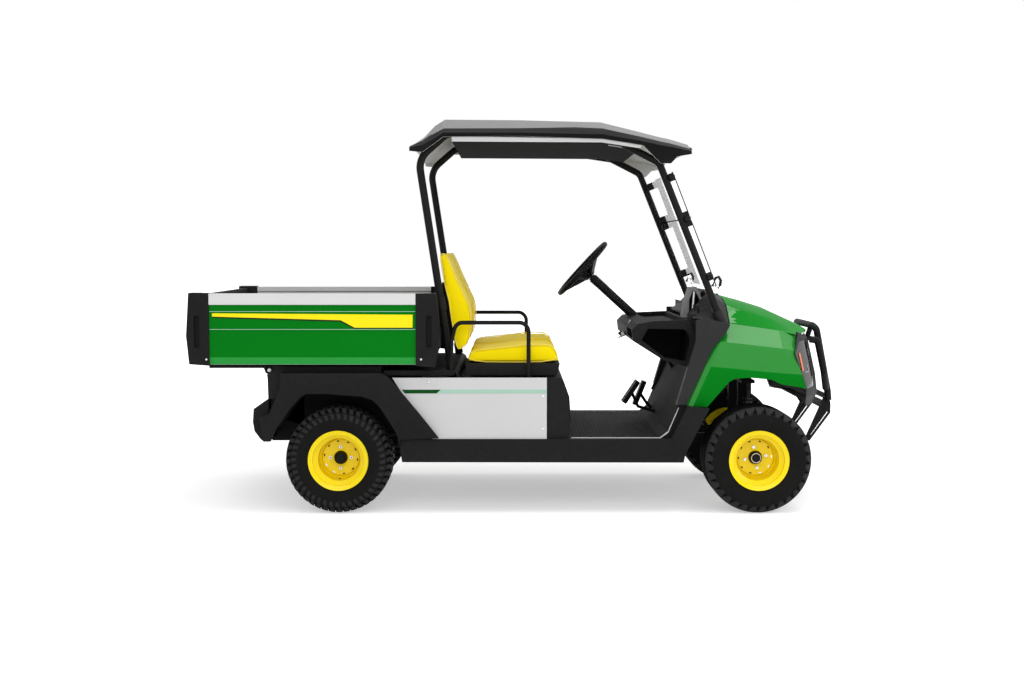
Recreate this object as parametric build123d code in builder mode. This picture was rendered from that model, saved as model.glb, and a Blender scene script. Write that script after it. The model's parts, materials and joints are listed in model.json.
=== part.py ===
from build123d import *

import math
import os

os.makedirs("parts", exist_ok=True)

# Two-seat utility vehicle with a tipping load bed.
# +X is forward, +Y is the vehicle's left, +Z is up and z = 0 is the ground.

# Running gear
wheelbase = 2000
track = 966
tyre_diameter = 510
tyre_width = 240
tyre_wall = 11
rim_seat_diameter = 254
rim_flange_diameter = 287
rim_wall = 4
disc_thickness = 6
vent_count = 10
lug_count = 4
lug_circle = 102
hub_radius = 30
spindle_radius = 18
running_clearance = 0.05
kingpin_inset = 123
ball_joint_reach = 80
steering_arm_length = 110
steering_arm_inset = 15
rack_drop = 20
control_arm_radius = 10

# Heights of the main levels above one another
floor_above_axle = 101
sill_depth = 108
side_height = 296
bed_gap = 59
bed_depth = 342
seat_deck_height = 60

# Half widths
bed_half = 640
rear_fender_half = 620
sill_half = 600
panel_half = 590
front_fender_half = 572
cage_half = 500
roof_half = 610
hip_rail_half = 540
seat_half = 505
seat_gap = 50
rail_half = 150

# Material sizes
skin = 10
panel_thickness = 12
tube_radius = 18
post_radius = 17
hip_tube_radius = 10
glass_thickness = 5
seam = 5
seat_clearance = 0.3

# Load bed
bed_rear_overhang = 703
bed_length = 1184
bed_wall = 32
bed_floor_thickness = 16
corner_post_length = 108
top_rail_height = 25
pivot_pin_radius = 12
pivot_inset = 376
pivot_y = 530
ear_thickness = 20
tailgate_thickness = 35
gate_pin_radius = 6
gate_pin_rise = 38

# Steering wheel
wheel_rim_diameter = 376
wheel_rim_section = 26
column_radius = 19
steering_lean = 47.6
driver_y = 250

# Positions that follow from the sizes above
axle_z = tyre_diameter / 2
rear_x = -860
front_x = rear_x + wheelbase
wheel_y = track / 2
floor_z = axle_z + floor_above_axle
sill_z = floor_z - sill_depth
deck_z = floor_z + side_height
bed_z = deck_z + bed_gap
bed_top = bed_z + bed_depth
seat_z = deck_z + seat_deck_height
bed_rear = rear_x - bed_rear_overhang
bed_front = bed_rear + bed_length
seat_front = rear_x + 1060
panel_front = rear_x + 991
rail_z = floor_z - 56
pivot_x = bed_rear + pivot_inset
pivot_z = bed_z - 26
gate_front = bed_rear + 62
gate_pin_x = gate_front - tailgate_thickness / 2
gate_pin_z = bed_z + gate_pin_rise
roof_z = floor_z + 1428
kingpin_y = wheel_y - kingpin_inset
strut_head_half = kingpin_y - 90


def polygon_face(plane, points):
    """A closed polygon on a plane."""
    with BuildSketch(plane) as face:
        with BuildLine():
            Polyline(*points, close=True)
        make_face()
    return face.sketch


def side_plate(points, inner, outer):
    """An upright plate on the right side, between two half widths."""
    with BuildPart() as plate:
        extrude(polygon_face(Plane.XZ.offset(inner), points), amount=outer - inner)
    return plate.part


def across(points, half_width):
    """A side profile run across the vehicle, from one side to the other."""
    with BuildPart() as body:
        extrude(polygon_face(Plane.XZ, points), amount=half_width, both=True)
    return body.part


def along(points, start_x, end_x):
    """A cross-section run along the vehicle."""
    with BuildPart() as body:
        extrude(polygon_face(Plane.YZ.offset(start_x), points), amount=end_x - start_x)
    return body.part


def block(low, high):
    """A box between two opposite corners."""
    size = [b - a for a, b in zip(low, high)]
    with BuildPart() as body:
        with Locations(low):
            Box(*size, align=(Align.MIN, Align.MIN, Align.MIN))
    return body.part


def rod(start, end, radius):
    """A straight round bar."""
    reach = Vector(*end) - Vector(*start)
    with BuildPart() as bar:
        with BuildSketch(Plane(origin=start, z_dir=reach)):
            Circle(radius)
        extrude(amount=reach.length)
    return bar.part


def bent_tube(points, radius, bend):
    """A round tube with bends of one radius."""
    with BuildPart() as tube:
        with BuildLine() as path:
            FilletPolyline(*points, radius=bend)
        with BuildSketch(Plane(origin=path.line @ 0, z_dir=path.line % 0)):
            Circle(radius)
        sweep()
    return tube.part


def section_loft(sections):
    """A body through cross-sections, each given as x and its half outline from the middle outwards."""
    with BuildPart() as body:
        for x, half in sections:
            other = [(-y, z) for y, z in reversed(half) if y > 0]
            with BuildSketch(Plane.YZ.offset(x)):
                with BuildLine():
                    Polyline(*half, *other, close=True)
                make_face()
        loft(ruled=True)
    return body.part


# Wheels: hollow tyre and dished rim with half-moon vents, made at each corner
tyre_radius = tyre_diameter / 2
seat_radius = rim_seat_diameter / 2
flange_radius = rim_flange_diameter / 2
drum_radius = seat_radius - 21
half_tyre = tyre_width / 2
hub_length = 58


def make_tyre(x, y):
    outer = [
        (seat_radius + 0.2, half_tyre - 22),
        (seat_radius + 0.2, half_tyre - 13),
        (flange_radius + 1, half_tyre - 9),
        (tyre_radius - 62, half_tyre),
        (tyre_radius - 20, half_tyre - 6),
        (tyre_radius - 5, half_tyre - 24),
        (tyre_radius, half_tyre - 40),
    ]
    inner = [
        (tyre_radius - tyre_wall, half_tyre - 42),
        (tyre_radius - tyre_wall - 14, half_tyre - 24),
        (tyre_radius - 62, half_tyre - tyre_wall),
        (flange_radius + 1, half_tyre - tyre_wall - 12),
    ]
    half = outer + inner
    with BuildPart() as tyre:
        with BuildSketch(Plane(origin=(x, y, axle_z))):
            with BuildLine():
                crown = Polyline(*outer)
                lining = Polyline(*inner)
                Line(lining @ 1, crown @ 0)
                Line(crown @ 1, (tyre_radius, 0))
                Line((tyre_radius, 0), (tyre_radius - tyre_wall, 0))
                Line((tyre_radius - tyre_wall, 0), lining @ 0)
            make_face()
            mirror(about=Plane.XZ)
        revolve(axis=Axis((x, y, axle_z), (0, 1, 0)))
    return tyre.part


def make_rim(x, y, side):
    wall = rim_wall
    outline = [
        (flange_radius, half_tyre - 2),
        (flange_radius, half_tyre - 6),
        (seat_radius, half_tyre - 12),
        (seat_radius, half_tyre - 34),
        (drum_radius, half_tyre - 48),
    ]
    bore = spindle_radius + running_clearance
    with BuildPart() as rim:
        with BuildSketch(Plane(origin=(x, y, axle_z))):
            with BuildLine():
                shape = Polyline(*outline, (drum_radius, 0), (drum_radius - wall, 0))
                back = Polyline(
                    shape @ 1,
                    (drum_radius - wall, half_tyre - 46),
                    (seat_radius - wall, half_tyre - 32),
                    (seat_radius - wall, half_tyre - 9),
                    (flange_radius - wall, half_tyre - 4),
                    shape @ 0,
                )
            make_face()
            mirror(about=Plane.XZ)
        revolve(axis=Axis((x, y, axle_z), (0, 1, 0)))
        # The disc sits at the middle of the drum and domes towards the outside
        with BuildSketch(Plane(origin=(x, y, axle_z))):
            with BuildLine():
                Polyline(
                    (drum_radius - 1, -side * 6),
                    (drum_radius - 12, -side * 6),
                    (drum_radius - 20, side * 2),
                    (hub_radius + 6, side * 2),
                    (hub_radius, side * 8),
                    (hub_radius, side * 24),
                    (spindle_radius + 6, side * 24),
                    (bore, side * 18),
                    (bore, side * (18 - hub_length)),
                    (hub_radius, side * (18 - hub_length)),
                    (hub_radius, side * (2 - disc_thickness)),
                    (drum_radius - 16, side * (2 - disc_thickness)),
                    (drum_radius - 10, -side * (6 + disc_thickness)),
                    (drum_radius - 1, -side * (6 + disc_thickness)),
                    close=True,
                )
            make_face()
        revolve(axis=Axis((x, y, axle_z), (0, 1, 0)))
        # Half-moon vents round the disc, cut through along the axle
        with BuildSketch(Plane(origin=(x, y, axle_z), x_dir=(1, 0, 0), z_dir=(0, 1, 0))):
            with PolarLocations(drum_radius - 29, vent_count, start_angle=9):
                Circle(7)
                Rectangle(8, 15, align=(Align.MAX, Align.CENTER), mode=Mode.SUBTRACT)
        extrude(amount=disc_thickness + 6, both=True, mode=Mode.SUBTRACT)
        # Lug nuts
        with BuildSketch(Plane(origin=(x, y + side * 2, axle_z), x_dir=(1, 0, 0), z_dir=(0, side, 0))):
            with PolarLocations(lug_circle / 2, lug_count, start_angle=35):
                RegularPolygon(8, 6)
        extrude(amount=10)
    return rim.part


wheels = {
    "front_right": (front_x, -1),
    "front_left": (front_x, 1),
    "rear_right": (rear_x, -1),
    "rear_left": (rear_x, 1),
}
for corner, (wheel_x, side) in wheels.items():
    tyre = make_tyre(wheel_x, side * wheel_y)
    tyre.label = f"tyre_{corner}"
    export_step(tyre, f"parts/tyre_{corner}.step")
    rim = make_rim(wheel_x, side * wheel_y, side)
    rim.label = f"rim_{corner}"
    export_step(rim, f"parts/rim_{corner}.step")

# Chassis frame: two rails that kick up over the rear axle, with what is welded to them
rail_width = 40
rail_height = 60
rail_top = rail_z + rail_height / 2
rail_bottom = rail_z - rail_height / 2
rail_inner = rail_half - rail_width / 2
rail_outer = rail_half + rail_width / 2
kick_up = 178
kick_x = rear_x + 320
rail_front = front_x + 190
rail_rear = rear_x - 330
rear_rail_top = rail_top + kick_up
rear_rail_bottom = rear_rail_top - rail_height
cross_width = 40
hitch_hole_radius = 9.5
hitch_thickness = 12
hitch_reach = 90
hitch_half = 70
hitch_z = axle_z + 45
hitch_hole_x = rail_rear - hitch_reach
shock_y = 310
shock_lean = 55
shock_top_z = rear_rail_top + 60
bridge_thickness = 20
arm_y = 235
arm_pin_x = kick_x - 20
arm_pin_z = rail_z - 10
lower_pivot_y = 120
upper_pivot_y = 184
pivot_spread = 60
lower_pivot_z = rail_bottom - 45
ball_z_low = axle_z - ball_joint_reach
ball_z_high = axle_z + ball_joint_reach
ball_radius = 14
upper_pivot_z = ball_z_high + ball_radius + 2
pin_radius = control_arm_radius + 1
pin_bore = pin_radius + seat_clearance
boss_near = pivot_spread + 12
boss_far = pivot_spread + 21
tower_z = deck_z - 60
tower_half = 33
rack_x = front_x - steering_arm_length
rack_z = axle_z - rack_drop
rack_radius = 11
housing_half = 200
housing_radius = 22
bracket_inner = 532
bracket_outer = 548


def both_sides(inner, outer, low, high):
    """Two mirrored boxes between two half widths, given low and high as (x, z)."""
    with BuildPart() as pair:
        add(block((low[0], inner, low[1]), (high[0], outer, high[1])))
        mirror(about=Plane.XZ)
    return pair.part


with BuildPart() as frame:
    rail_side = [
        (rail_rear, rear_rail_bottom),
        (rail_rear, rear_rail_top),
        (kick_x - 130, rear_rail_top),
        (kick_x + 20, rail_top),
        (rail_front, rail_top),
        (rail_front, rail_bottom),
        (kick_x, rail_bottom),
        (kick_x - 150, rear_rail_bottom),
    ]
    add(side_plate(rail_side, rail_inner, rail_outer))
    mirror(about=Plane.XZ)
    for x in (rail_front - cross_width, front_x - 330, panel_front - 60, kick_x + 120):
        add(block((x, -rail_inner, rail_bottom + 5), (x + cross_width, rail_inner, rail_top - 5)))
    for x in (rail_rear, kick_x - 190):
        add(block((x, -rail_inner, rear_rail_bottom + 5), (x + cross_width, rail_inner, rear_rail_top - 5)))
    # Outriggers under the floor
    for x in (front_x - 480, panel_front - 60, kick_x + 120):
        add(both_sides(rail_outer - 1, sill_half - 45, (x, rail_bottom + 15), (x + cross_width, floor_z - 6)))
    # Hitch plate with an upright drawbar hole
    with BuildSketch(Plane.XY.offset(hitch_z)):
        with BuildLine():
            Polyline(
                (rail_rear + 60, -hitch_half),
                (hitch_hole_x, -45),
                (hitch_hole_x, 45),
                (rail_rear + 60, hitch_half),
                close=True,
            )
        make_face()
        with Locations((hitch_hole_x, 0)):
            Circle(45)
            Circle(hitch_hole_radius, mode=Mode.SUBTRACT)
    extrude(amount=hitch_thickness)
    hitch_back = rail_rear + 60
    add(block((hitch_back - 12, -hitch_half, hitch_z), (hitch_back, hitch_half, rear_rail_bottom)))
    beam_low = (hitch_back - 40, -rail_outer, rear_rail_bottom - 10)
    add(block(beam_low, (hitch_back, rail_outer, rear_rail_bottom)))
    # Stays from the rail ends to the rear fascia
    stay_low = (rear_x - 395 + seat_clearance, axle_z + 195)
    add(both_sides(rail_inner, rail_outer, stay_low, (rail_rear + 1, axle_z + 235)))
    # Bridge for the heads of the rear shocks
    add(block((rear_x - 50, -290, shock_top_z), (rear_x + 10, 290, shock_top_z + bridge_thickness)))
    add(both_sides(rail_inner, rail_outer, (rear_x - 50, rear_rail_top - 1), (rear_x + 10, shock_top_z + 1)))
    # Pins of the trailing arms
    for side in (-1, 1):
        pin = [(arm_pin_x, side * y, arm_pin_z) for y in (rail_outer - 1, arm_y + 22)]
        add(rod(*pin, 10))
    # Tower for the front coil-over units
    tower_rear = front_x - tower_half
    tower_front = front_x + tower_half
    add(block((tower_rear, -strut_head_half, tower_z), (tower_front, strut_head_half, tower_z + 16)))
    add(both_sides(rail_inner, rail_outer, (tower_rear, rail_top - 1), (tower_front, tower_z + 1)))
    # Bosses for the control arm pins, each with its bore
    for end in (-1, 1):
        near, far = sorted((front_x + end * boss_near, front_x + end * boss_far))
        add(both_sides(rail_inner, upper_pivot_y + 15, (near, rail_top - 1), (far, upper_pivot_z + 18)))
        add(both_sides(lower_pivot_y - 16, rail_outer, (near, lower_pivot_z - 18), (far, rail_bottom + 1)))
        for side in (-1, 1):
            for y, z in ((upper_pivot_y, upper_pivot_z), (lower_pivot_y, lower_pivot_z)):
                add(rod((near - 1, side * y, z), (far + 1, side * y, z), pin_bore), mode=Mode.SUBTRACT)
    # Steering gear housing on brackets below the rails
    add(rod((rack_x, -housing_half, rack_z), (rack_x, housing_half, rack_z), housing_radius))
    add(both_sides(rail_inner, rail_outer, (rack_x - 18, rack_z + 12), (rack_x + 18, rail_bottom + 1)))
    rack_bore = rack_radius + 1
    gear_bore = [(rack_x, y, rack_z) for y in (-housing_half - 1, housing_half + 1)]
    add(rod(*gear_bore, rack_bore), mode=Mode.SUBTRACT)
    # Bed pivot brackets with their pins on a cross tube over the rail ends
    bracket = [
        (pivot_x - 15, pivot_z - 24),
        (pivot_x + 40, pivot_z - 24),
        (pivot_x + 40, rear_rail_top + 1),
        (pivot_x + 4, rear_rail_top + 1),
        (pivot_x + 4, axle_z + 291),
    ]
    for side in (-1, 1):
        plate = side_plate(bracket, bracket_inner, bracket_outer)
        add(plate if side < 0 else mirror(plate, about=Plane.XZ))
        add(rod((pivot_x, side * bracket_inner, pivot_z), (pivot_x, side * bracket_outer, pivot_z), 24))
        pin = [(pivot_x, side * y, pivot_z) for y in (pivot_y - ear_thickness, bracket_outer + 8)]
        add(rod(*pin, pivot_pin_radius))
    cross_low = (pivot_x + 4, -bracket_outer, rear_rail_top - 1)
    add(block(cross_low, (pivot_x + 40, bracket_outer, rear_rail_top + 30)))
frame.part.label = "frame"
export_step(frame.part, "parts/frame.step")

# Rear axle: drive housing, axle tubes and the stubs that carry the rear wheels
axle_tube_radius = 30
axle_tube_end = wheel_y - 70
with BuildPart() as rear_axle:
    housing = [
        (rear_x - 120, axle_z - 60),
        (rear_x - 60, axle_z - 95),
        (rear_x + 70, axle_z - 95),
        (rear_x + 170, axle_z - 40),
        (rear_x + 170, axle_z + 70),
        (rear_x + 60, axle_z + 110),
        (rear_x - 60, axle_z + 110),
        (rear_x - 120, axle_z + 60),
    ]
    add(across(housing, 95))
    fillet(rear_axle.edges().filter_by(Axis.Y), 20)
    for side in (-1, 1):
        add(rod((rear_x, side * 90, axle_z), (rear_x, side * axle_tube_end, axle_z), axle_tube_radius))
        stub = [(rear_x, side * y, axle_z) for y in (axle_tube_end, wheel_y + 10)]
        add(rod(*stub, spindle_radius))
rear_axle.part.label = "rear_axle"
export_step(rear_axle.part, "parts/rear_axle.step")

# Suspension arms: trailing arms behind, a lower and an upper control arm at each knuckle
strut_foot_y = kingpin_y - 70
strut_share = 70 / (kingpin_y - lower_pivot_y)
lower_ball_z = ball_z_low - ball_radius
strut_seat_z = lower_ball_z + strut_share * (lower_pivot_z - lower_ball_z) + control_arm_radius + 4
with BuildPart() as suspension_arms:
    for side in (-1, 1):
        eye = [(arm_pin_x, side * y, arm_pin_z) for y in (arm_y - 18, arm_y + 18)]
        clamp = [(rear_x, side * y, axle_z) for y in (arm_y - 25, arm_y + 25)]
        arm_rear = (rear_x + axle_tube_radius + 6, side * arm_y, axle_z)
        add(rod(arm_rear, (arm_pin_x - 12, side * arm_y, arm_pin_z), 14))
        add(rod(*eye, 20))
        add(rod(*eye, 10 + seat_clearance), mode=Mode.SUBTRACT)
        add(rod(*clamp, axle_tube_radius + 12))
        add(rod(*clamp, axle_tube_radius), mode=Mode.SUBTRACT)
        for pivot_y_at, pivot_level, ball_level in (
            (lower_pivot_y, lower_pivot_z, lower_ball_z),
            (upper_pivot_y, upper_pivot_z, ball_z_high + ball_radius),
        ):
            for end in (-1, 1):
                pivot = (front_x + end * pivot_spread, side * pivot_y_at, pivot_level)
                add(rod(pivot, (front_x + end * 8, side * kingpin_y, ball_level), control_arm_radius))
            joint = [(front_x, side * kingpin_y, ball_level + step) for step in (-ball_radius, ball_radius)]
            add(rod(*joint, ball_radius + 6))
            pin = [(front_x + end * (boss_far + 2), side * pivot_y_at, pivot_level) for end in (-1, 1)]
            add(rod(*pin, pin_radius))
        # Seat of the coil-over unit across the lower arm's legs
        seat_y = [side * (strut_foot_y + step) for step in (-20, 20)]
        add(block((front_x - 30, min(seat_y), strut_seat_z - 20), (front_x + 30, max(seat_y), strut_seat_z)))
suspension_arms.part.label = "suspension_arms"
export_step(suspension_arms.part, "parts/suspension_arms.step")


def coil_over(bottom, top, spring_radius, coils):
    """A damper with its coil spring shown as stacked rings on the body."""
    lower = Vector(*bottom)
    reach = Vector(*top) - lower
    unit = reach.normalized()
    with BuildPart() as body:
        add(rod(tuple(lower), tuple(lower + reach), spring_radius * 0.45))
        for end in (lower + reach * 0.16, lower + reach * 0.8):
            add(rod(tuple(end), tuple(end + unit * 6), spring_radius))
        first = 0.16 * reach.length + 6
        pitch = (0.8 * reach.length - first) / coils
        for i in range(coils):
            ring = lower + unit * (first + pitch * (i + 0.28))
            add(rod(tuple(ring), tuple(ring + unit * pitch * 0.44), spring_radius * 0.92))
    return body.part


# Coil-over units at all four wheels
with BuildPart() as shocks:
    for side in (-1, 1):
        rear_foot = (rear_x, side * shock_y, axle_z + axle_tube_radius + 3)
        rear_head = (rear_x - 20, side * (shock_y - shock_lean), shock_top_z - 3)
        add(coil_over(rear_foot, rear_head, 27, 7))
        front_foot = (front_x, side * strut_foot_y, strut_seat_z + 1.7)
        front_head = (front_x, side * (strut_foot_y - 50), tower_z - 1.7)
        add(coil_over(front_foot, front_head, 24, 7))
shocks.part.label = "shocks"
export_step(shocks.part, "parts/shocks.step")

# Knuckles: upright, stub axle and steering arm, one body a side
with BuildPart() as knuckle_right:
    upright_low = ball_z_low + seam
    upright_high = ball_z_high - seam
    add(block((front_x - 20, -kingpin_y - 14, upright_low), (front_x + 20, -kingpin_y + 14, upright_high)))
    fillet(knuckle_right.edges().filter_by(Axis.Z), 8)
    lower_stem = (ball_z_low + seat_clearance, upright_low + 1)
    upper_stem = (upright_high - 1, ball_z_high - seat_clearance)
    for end, outer_end in (lower_stem, upper_stem):
        add(rod((front_x, -kingpin_y, end), (front_x, -kingpin_y, outer_end), 9))
    add(rod((front_x, -kingpin_y, axle_z), (front_x, -kingpin_y - 55, axle_z), 34))
    add(rod((front_x, -kingpin_y - 50, axle_z), (front_x, -wheel_y - 14, axle_z), spindle_radius))
    arm_end_y = -kingpin_y + steering_arm_inset
    arm_end_x = front_x - steering_arm_length
    arm_top = rack_z - 7
    add(block((arm_end_x, arm_end_y - 9, arm_top - 14), (front_x, arm_end_y + 9, arm_top)))
    add(rod((arm_end_x, arm_end_y, arm_top - 14), (arm_end_x, arm_end_y, arm_top), 13))
knuckle_right.part.label = "knuckle_right"
export_step(knuckle_right.part, "parts/knuckle_right.step")

with BuildPart() as knuckle_left:
    add(mirror(knuckle_right.part, about=Plane.XZ))
knuckle_left.part.label = "knuckle_left"
export_step(knuckle_left.part, "parts/knuckle_left.step")

# Sliding rack with its tie rods and eyes, which lie on the steering arms
with BuildPart() as tie_rods:
    eye_y = kingpin_y - steering_arm_inset
    rack_end = housing_half + 60
    add(rod((rack_x, -rack_end, rack_z), (rack_x, rack_end, rack_z), rack_radius))
    add(rod((rack_x, -eye_y, rack_z), (rack_x, eye_y, rack_z), 5))
    for side in (-1, 1):
        add(rod((rack_x, side * eye_y, rack_z - 6), (rack_x, side * eye_y, rack_z + 6), 13))
tie_rods.part.label = "tie_rods"
export_step(tie_rods.part, "parts/tie_rods.step")

# Rear fenders: outer skin round the arch, a liner over the tyre and a top deck
fender_top = deck_z + 22
fender_inner_y = 350
arch_line = [
    (rear_x - 316, axle_z + 95),
    (rear_x - 286, axle_z + 161),
    (rear_x - 225, axle_z + 248),
    (rear_x - 170, axle_z + 308),
    (rear_x - 143, axle_z + 321),
    (rear_x - 46, axle_z + 321),
    (rear_x + 117, axle_z + 308),
    (rear_x + 166, axle_z + 292),
    (rear_x + 198, axle_z + 262),
    (rear_x + 257, axle_z + 172),
    (rear_x + 284, axle_z + 123),
    (rear_x + 292, axle_z + 68),
    (rear_x + 305, sill_z),
]
fender_nose = [
    (rear_x + 430, sill_z + sill_depth),
    (rear_x + 479, floor_z + 10),
    (rear_x + 392, floor_z + 120),
    (rear_x + 301, floor_z + 229),
    (rear_x + 242, fender_top - 18),
    (rear_x + 210, fender_top),
]
fender_tail = [
    (rear_x - 266, fender_top),
    (rear_x - 270, fender_top - 70),
    (rear_x - 323, fender_top - 195),
    (rear_x - 371, fender_top - 212),
    (rear_x - 348, axle_z + 95),
]
lip = [
    (rear_x - 262, fender_top - 1),
    (rear_x - 262, bed_z - 9),
    (rear_x + 205, bed_z - 9),
    (rear_x + 205, fender_top - 1),
]
with BuildPart() as rear_fenders:
    fender_side = arch_line[:-1] + [(rear_x + 296, floor_z + 2)] + fender_nose[1:] + fender_tail
    add(side_plate(fender_side, rear_fender_half - 2 * skin, rear_fender_half))
    liner = arch_line[1:-2]
    outside = [(x, z + skin) for x, z in reversed(liner)]
    add(side_plate(liner + outside, fender_inner_y, rear_fender_half - 2 * skin))
    deck = [
        (rear_x - 266, fender_top - skin),
        (rear_x - 266, fender_top),
        (rear_x + 210, fender_top),
        (rear_x + 210, fender_top - skin),
    ]
    add(side_plate(deck, fender_inner_y, rear_fender_half - 2 * skin))
    brace = [
        (rear_x - 143, axle_z + 325),
        (rear_x - 143, fender_top - skin),
        (rear_x - 133, fender_top - skin),
        (rear_x - 133, axle_z + 325),
    ]
    add(side_plate(brace, fender_inner_y, rear_fender_half - 2 * skin))
    # Inner wall of the arch, open over the axle, and a lip that closes the gap below the bed
    wall = [(x, z + 5) for x, z in liner]
    wall += [(rear_x + 120, axle_z + 110), (rear_x - 120, axle_z + 110)]
    add(side_plate(wall, fender_inner_y - 8, fender_inner_y))
    add(side_plate(lip, pivot_y + 30, pivot_y + 40))
    mirror(about=Plane.XZ)
rear_fenders.part.label = "rear_fenders"
export_step(rear_fenders.part, "parts/rear_fenders.step")

# Rear fascia below the bed
fascia_half = 560
with BuildPart() as rear_fascia:
    fascia_line = [
        (rear_x - 346, axle_z + 285),
        (rear_x - 404, axle_z + 244),
        (rear_x - 408, axle_z + 181),
        (rear_x - 400, axle_z + 137),
        (rear_x - 373, axle_z + 101),
        (rear_x - 357, axle_z + 87),
        (rear_x - 332, axle_z + 87),
    ]
    inner_line = [
        (rear_x - 332, axle_z + 97),
        (rear_x - 352, axle_z + 97),
        (rear_x - 366, axle_z + 109),
        (rear_x - 390, axle_z + 141),
        (rear_x - 398, axle_z + 181),
        (rear_x - 395, axle_z + 240),
        (rear_x - 344, axle_z + 275),
        (rear_x - 332, axle_z + 275),
        (rear_x - 332, axle_z + 285),
    ]
    add(across(fascia_line + inner_line, fascia_half))
    fascia_end = fascia_line + [(rear_x - 332, axle_z + 285)]
    add(side_plate(fascia_end, fascia_half, fascia_half + skin))
    add(mirror(side_plate(fascia_end, fascia_half, fascia_half + skin), about=Plane.XZ))
    # Lamp pockets near each end
    for side in (-1, 1):
        for level in (0, 1):
            with Locations((rear_x - 400, side * (fascia_half - 90), axle_z + 150 + 48 * level)):
                Box(60, 110, 30, mode=Mode.SUBTRACT)
rear_fascia.part.label = "rear_fascia"
export_step(rear_fascia.part, "parts/rear_fascia.step")

# Sills: channels along each side that sweep up in front of the doorway
sill_inner = sill_half - 40
with BuildPart() as sills:
    sill_side = [
        (rear_x + 304, sill_z),
        (front_x - 358, sill_z - 2),
        (front_x - 351, sill_z + 35),
        (front_x - 237, sill_z + 255),
        (front_x - 343, sill_z + 264),
        (front_x - 418, floor_z + 4),
        (front_x - 466, floor_z + 2),
        (rear_x + 296, floor_z + 2),
        (rear_x + 292, axle_z + 68),
    ]
    add(side_plate(sill_side, sill_inner, sill_half))
    with BuildSketch(Plane.XZ.offset(sill_inner)) as hollow:
        with BuildLine():
            Polyline(*sill_side, close=True)
        make_face()
        offset(amount=-skin, kind=Kind.INTERSECTION, mode=Mode.REPLACE)
    extrude(hollow.sketch, amount=sill_half - sill_inner - skin, mode=Mode.SUBTRACT)
    mirror(about=Plane.XZ)
sills.part.label = "sills"
export_step(sills.part, "parts/sills.step")

# Steering axis, which leans back from the gear to the driver
lean = math.radians(steering_lean)
column_unit = Vector(math.sin(lean), 0, -math.cos(lean))
wheel_centre = Vector(front_x - 799, driver_y, floor_z + 799)
hub_depth = 62
column_top = wheel_centre + column_unit * (hub_depth + 3)
column_reach = 430
shaft_radius = 9
gear_head = Vector(rack_x, rail_half - 60, rack_z + housing_radius + 4)
column_foot = column_top + column_unit * (column_reach + 8)

# Floor pan: flat tread, toe slope and firewall in one pressing
pan_thickness = 6
slope_foot = front_x - 466
slope_knee = front_x - 428
firewall_x = front_x - 315
firewall_top = floor_z + 298
with BuildPart() as floor_pan:
    upper = [
        (rear_x + 420, floor_z),
        (slope_foot, floor_z),
        (slope_knee, floor_z + 29),
        (firewall_x, firewall_top),
        (front_x - 312.3, floor_z + 352),
        (front_x - 299.5, floor_z + 389.3),
        (front_x - 289.5, floor_z + 476),
    ]
    lower = [
        (front_x - 283.5, floor_z + 476),
        (front_x - 293.5, floor_z + 388),
        (front_x - 305.5, floor_z + 351),
        (firewall_x + pan_thickness, firewall_top - 2),
        (slope_knee + 4, floor_z + 26),
        (slope_foot + 2, floor_z - pan_thickness),
        (rear_x + 420, floor_z - pan_thickness),
    ]
    add(across(upper + lower, sill_inner))
    # Notches beside the pillar trims, and the hole for the steering shaft
    notch_low = (front_x - 420, floor_z + 150)
    notch_high = (front_x - 270, floor_z + 490)
    notch_y = (cage_half + 10 - seat_clearance, sill_inner + 1)
    add(both_sides(*notch_y, notch_low, notch_high), mode=Mode.SUBTRACT)
    # Cheeks that close the toe slope's ends behind the sills
    cheek = [
        (slope_foot + 2, floor_z - 2),
        (slope_knee, floor_z + 26),
        (front_x - 373, floor_z + 148),
        (front_x - 340, floor_z + 148),
        (slope_knee + 10, floor_z - 2),
    ]
    for side in (-1, 1):
        plate = side_plate(cheek, sill_inner - 12, sill_inner)
        add(plate if side < 0 else mirror(plate, about=Plane.XZ))
    add(rod(tuple(column_foot), tuple(gear_head), shaft_radius + 6), mode=Mode.SUBTRACT)
floor_pan.part.label = "floor_pan"
export_step(floor_pan.part, "parts/floor_pan.step")

# Flat side panels between the fender and the kick panel
with BuildPart() as side_panels:
    panel_side = [
        (rear_x + 258, deck_z - 2),
        (panel_front, deck_z - 2),
        (panel_front, floor_z + 2),
        (rear_x + 445, floor_z + 2),
    ]
    add(side_plate(panel_side, panel_half - panel_thickness, panel_half))
    mirror(about=Plane.XZ)
side_panels.part.label = "side_panels"
export_step(side_panels.part, "parts/side_panels.step")

# Seat box: an open-topped compartment under the seat
box_rear = rear_x + 530
box_wall = 5
with BuildPart() as seat_box:
    side_y = panel_half - panel_thickness
    with BuildSketch(Plane.XY.offset(floor_z + 2)):
        with Locations(((box_rear + panel_front) / 2, 0)):
            Rectangle(panel_front - box_rear, 2 * side_y)
            Rectangle(panel_front - box_rear - 2 * box_wall, 2 * (side_y - box_wall), mode=Mode.SUBTRACT)
    extrude(amount=side_height - 6)
    for side in (-1, 1):
        low_y, high_y = sorted((side * (side_y - 45), side * (side_y - box_wall)))
        add(block((box_rear, low_y, deck_z - 9), (panel_front, high_y, deck_z - 4)))
seat_box.part.label = "seat_box"
export_step(seat_box.part, "parts/seat_box.step")

# Power unit: one plain block in the compartment
with BuildPart() as power_unit:
    add(block((box_rear + 30, -330, floor_z), (panel_front - 90, 330, deck_z - 40)))
    fillet(power_unit.edges().filter_by(Axis.Z), 15)
power_unit.part.label = "power_unit"
export_step(power_unit.part, "parts/power_unit.step")

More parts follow.
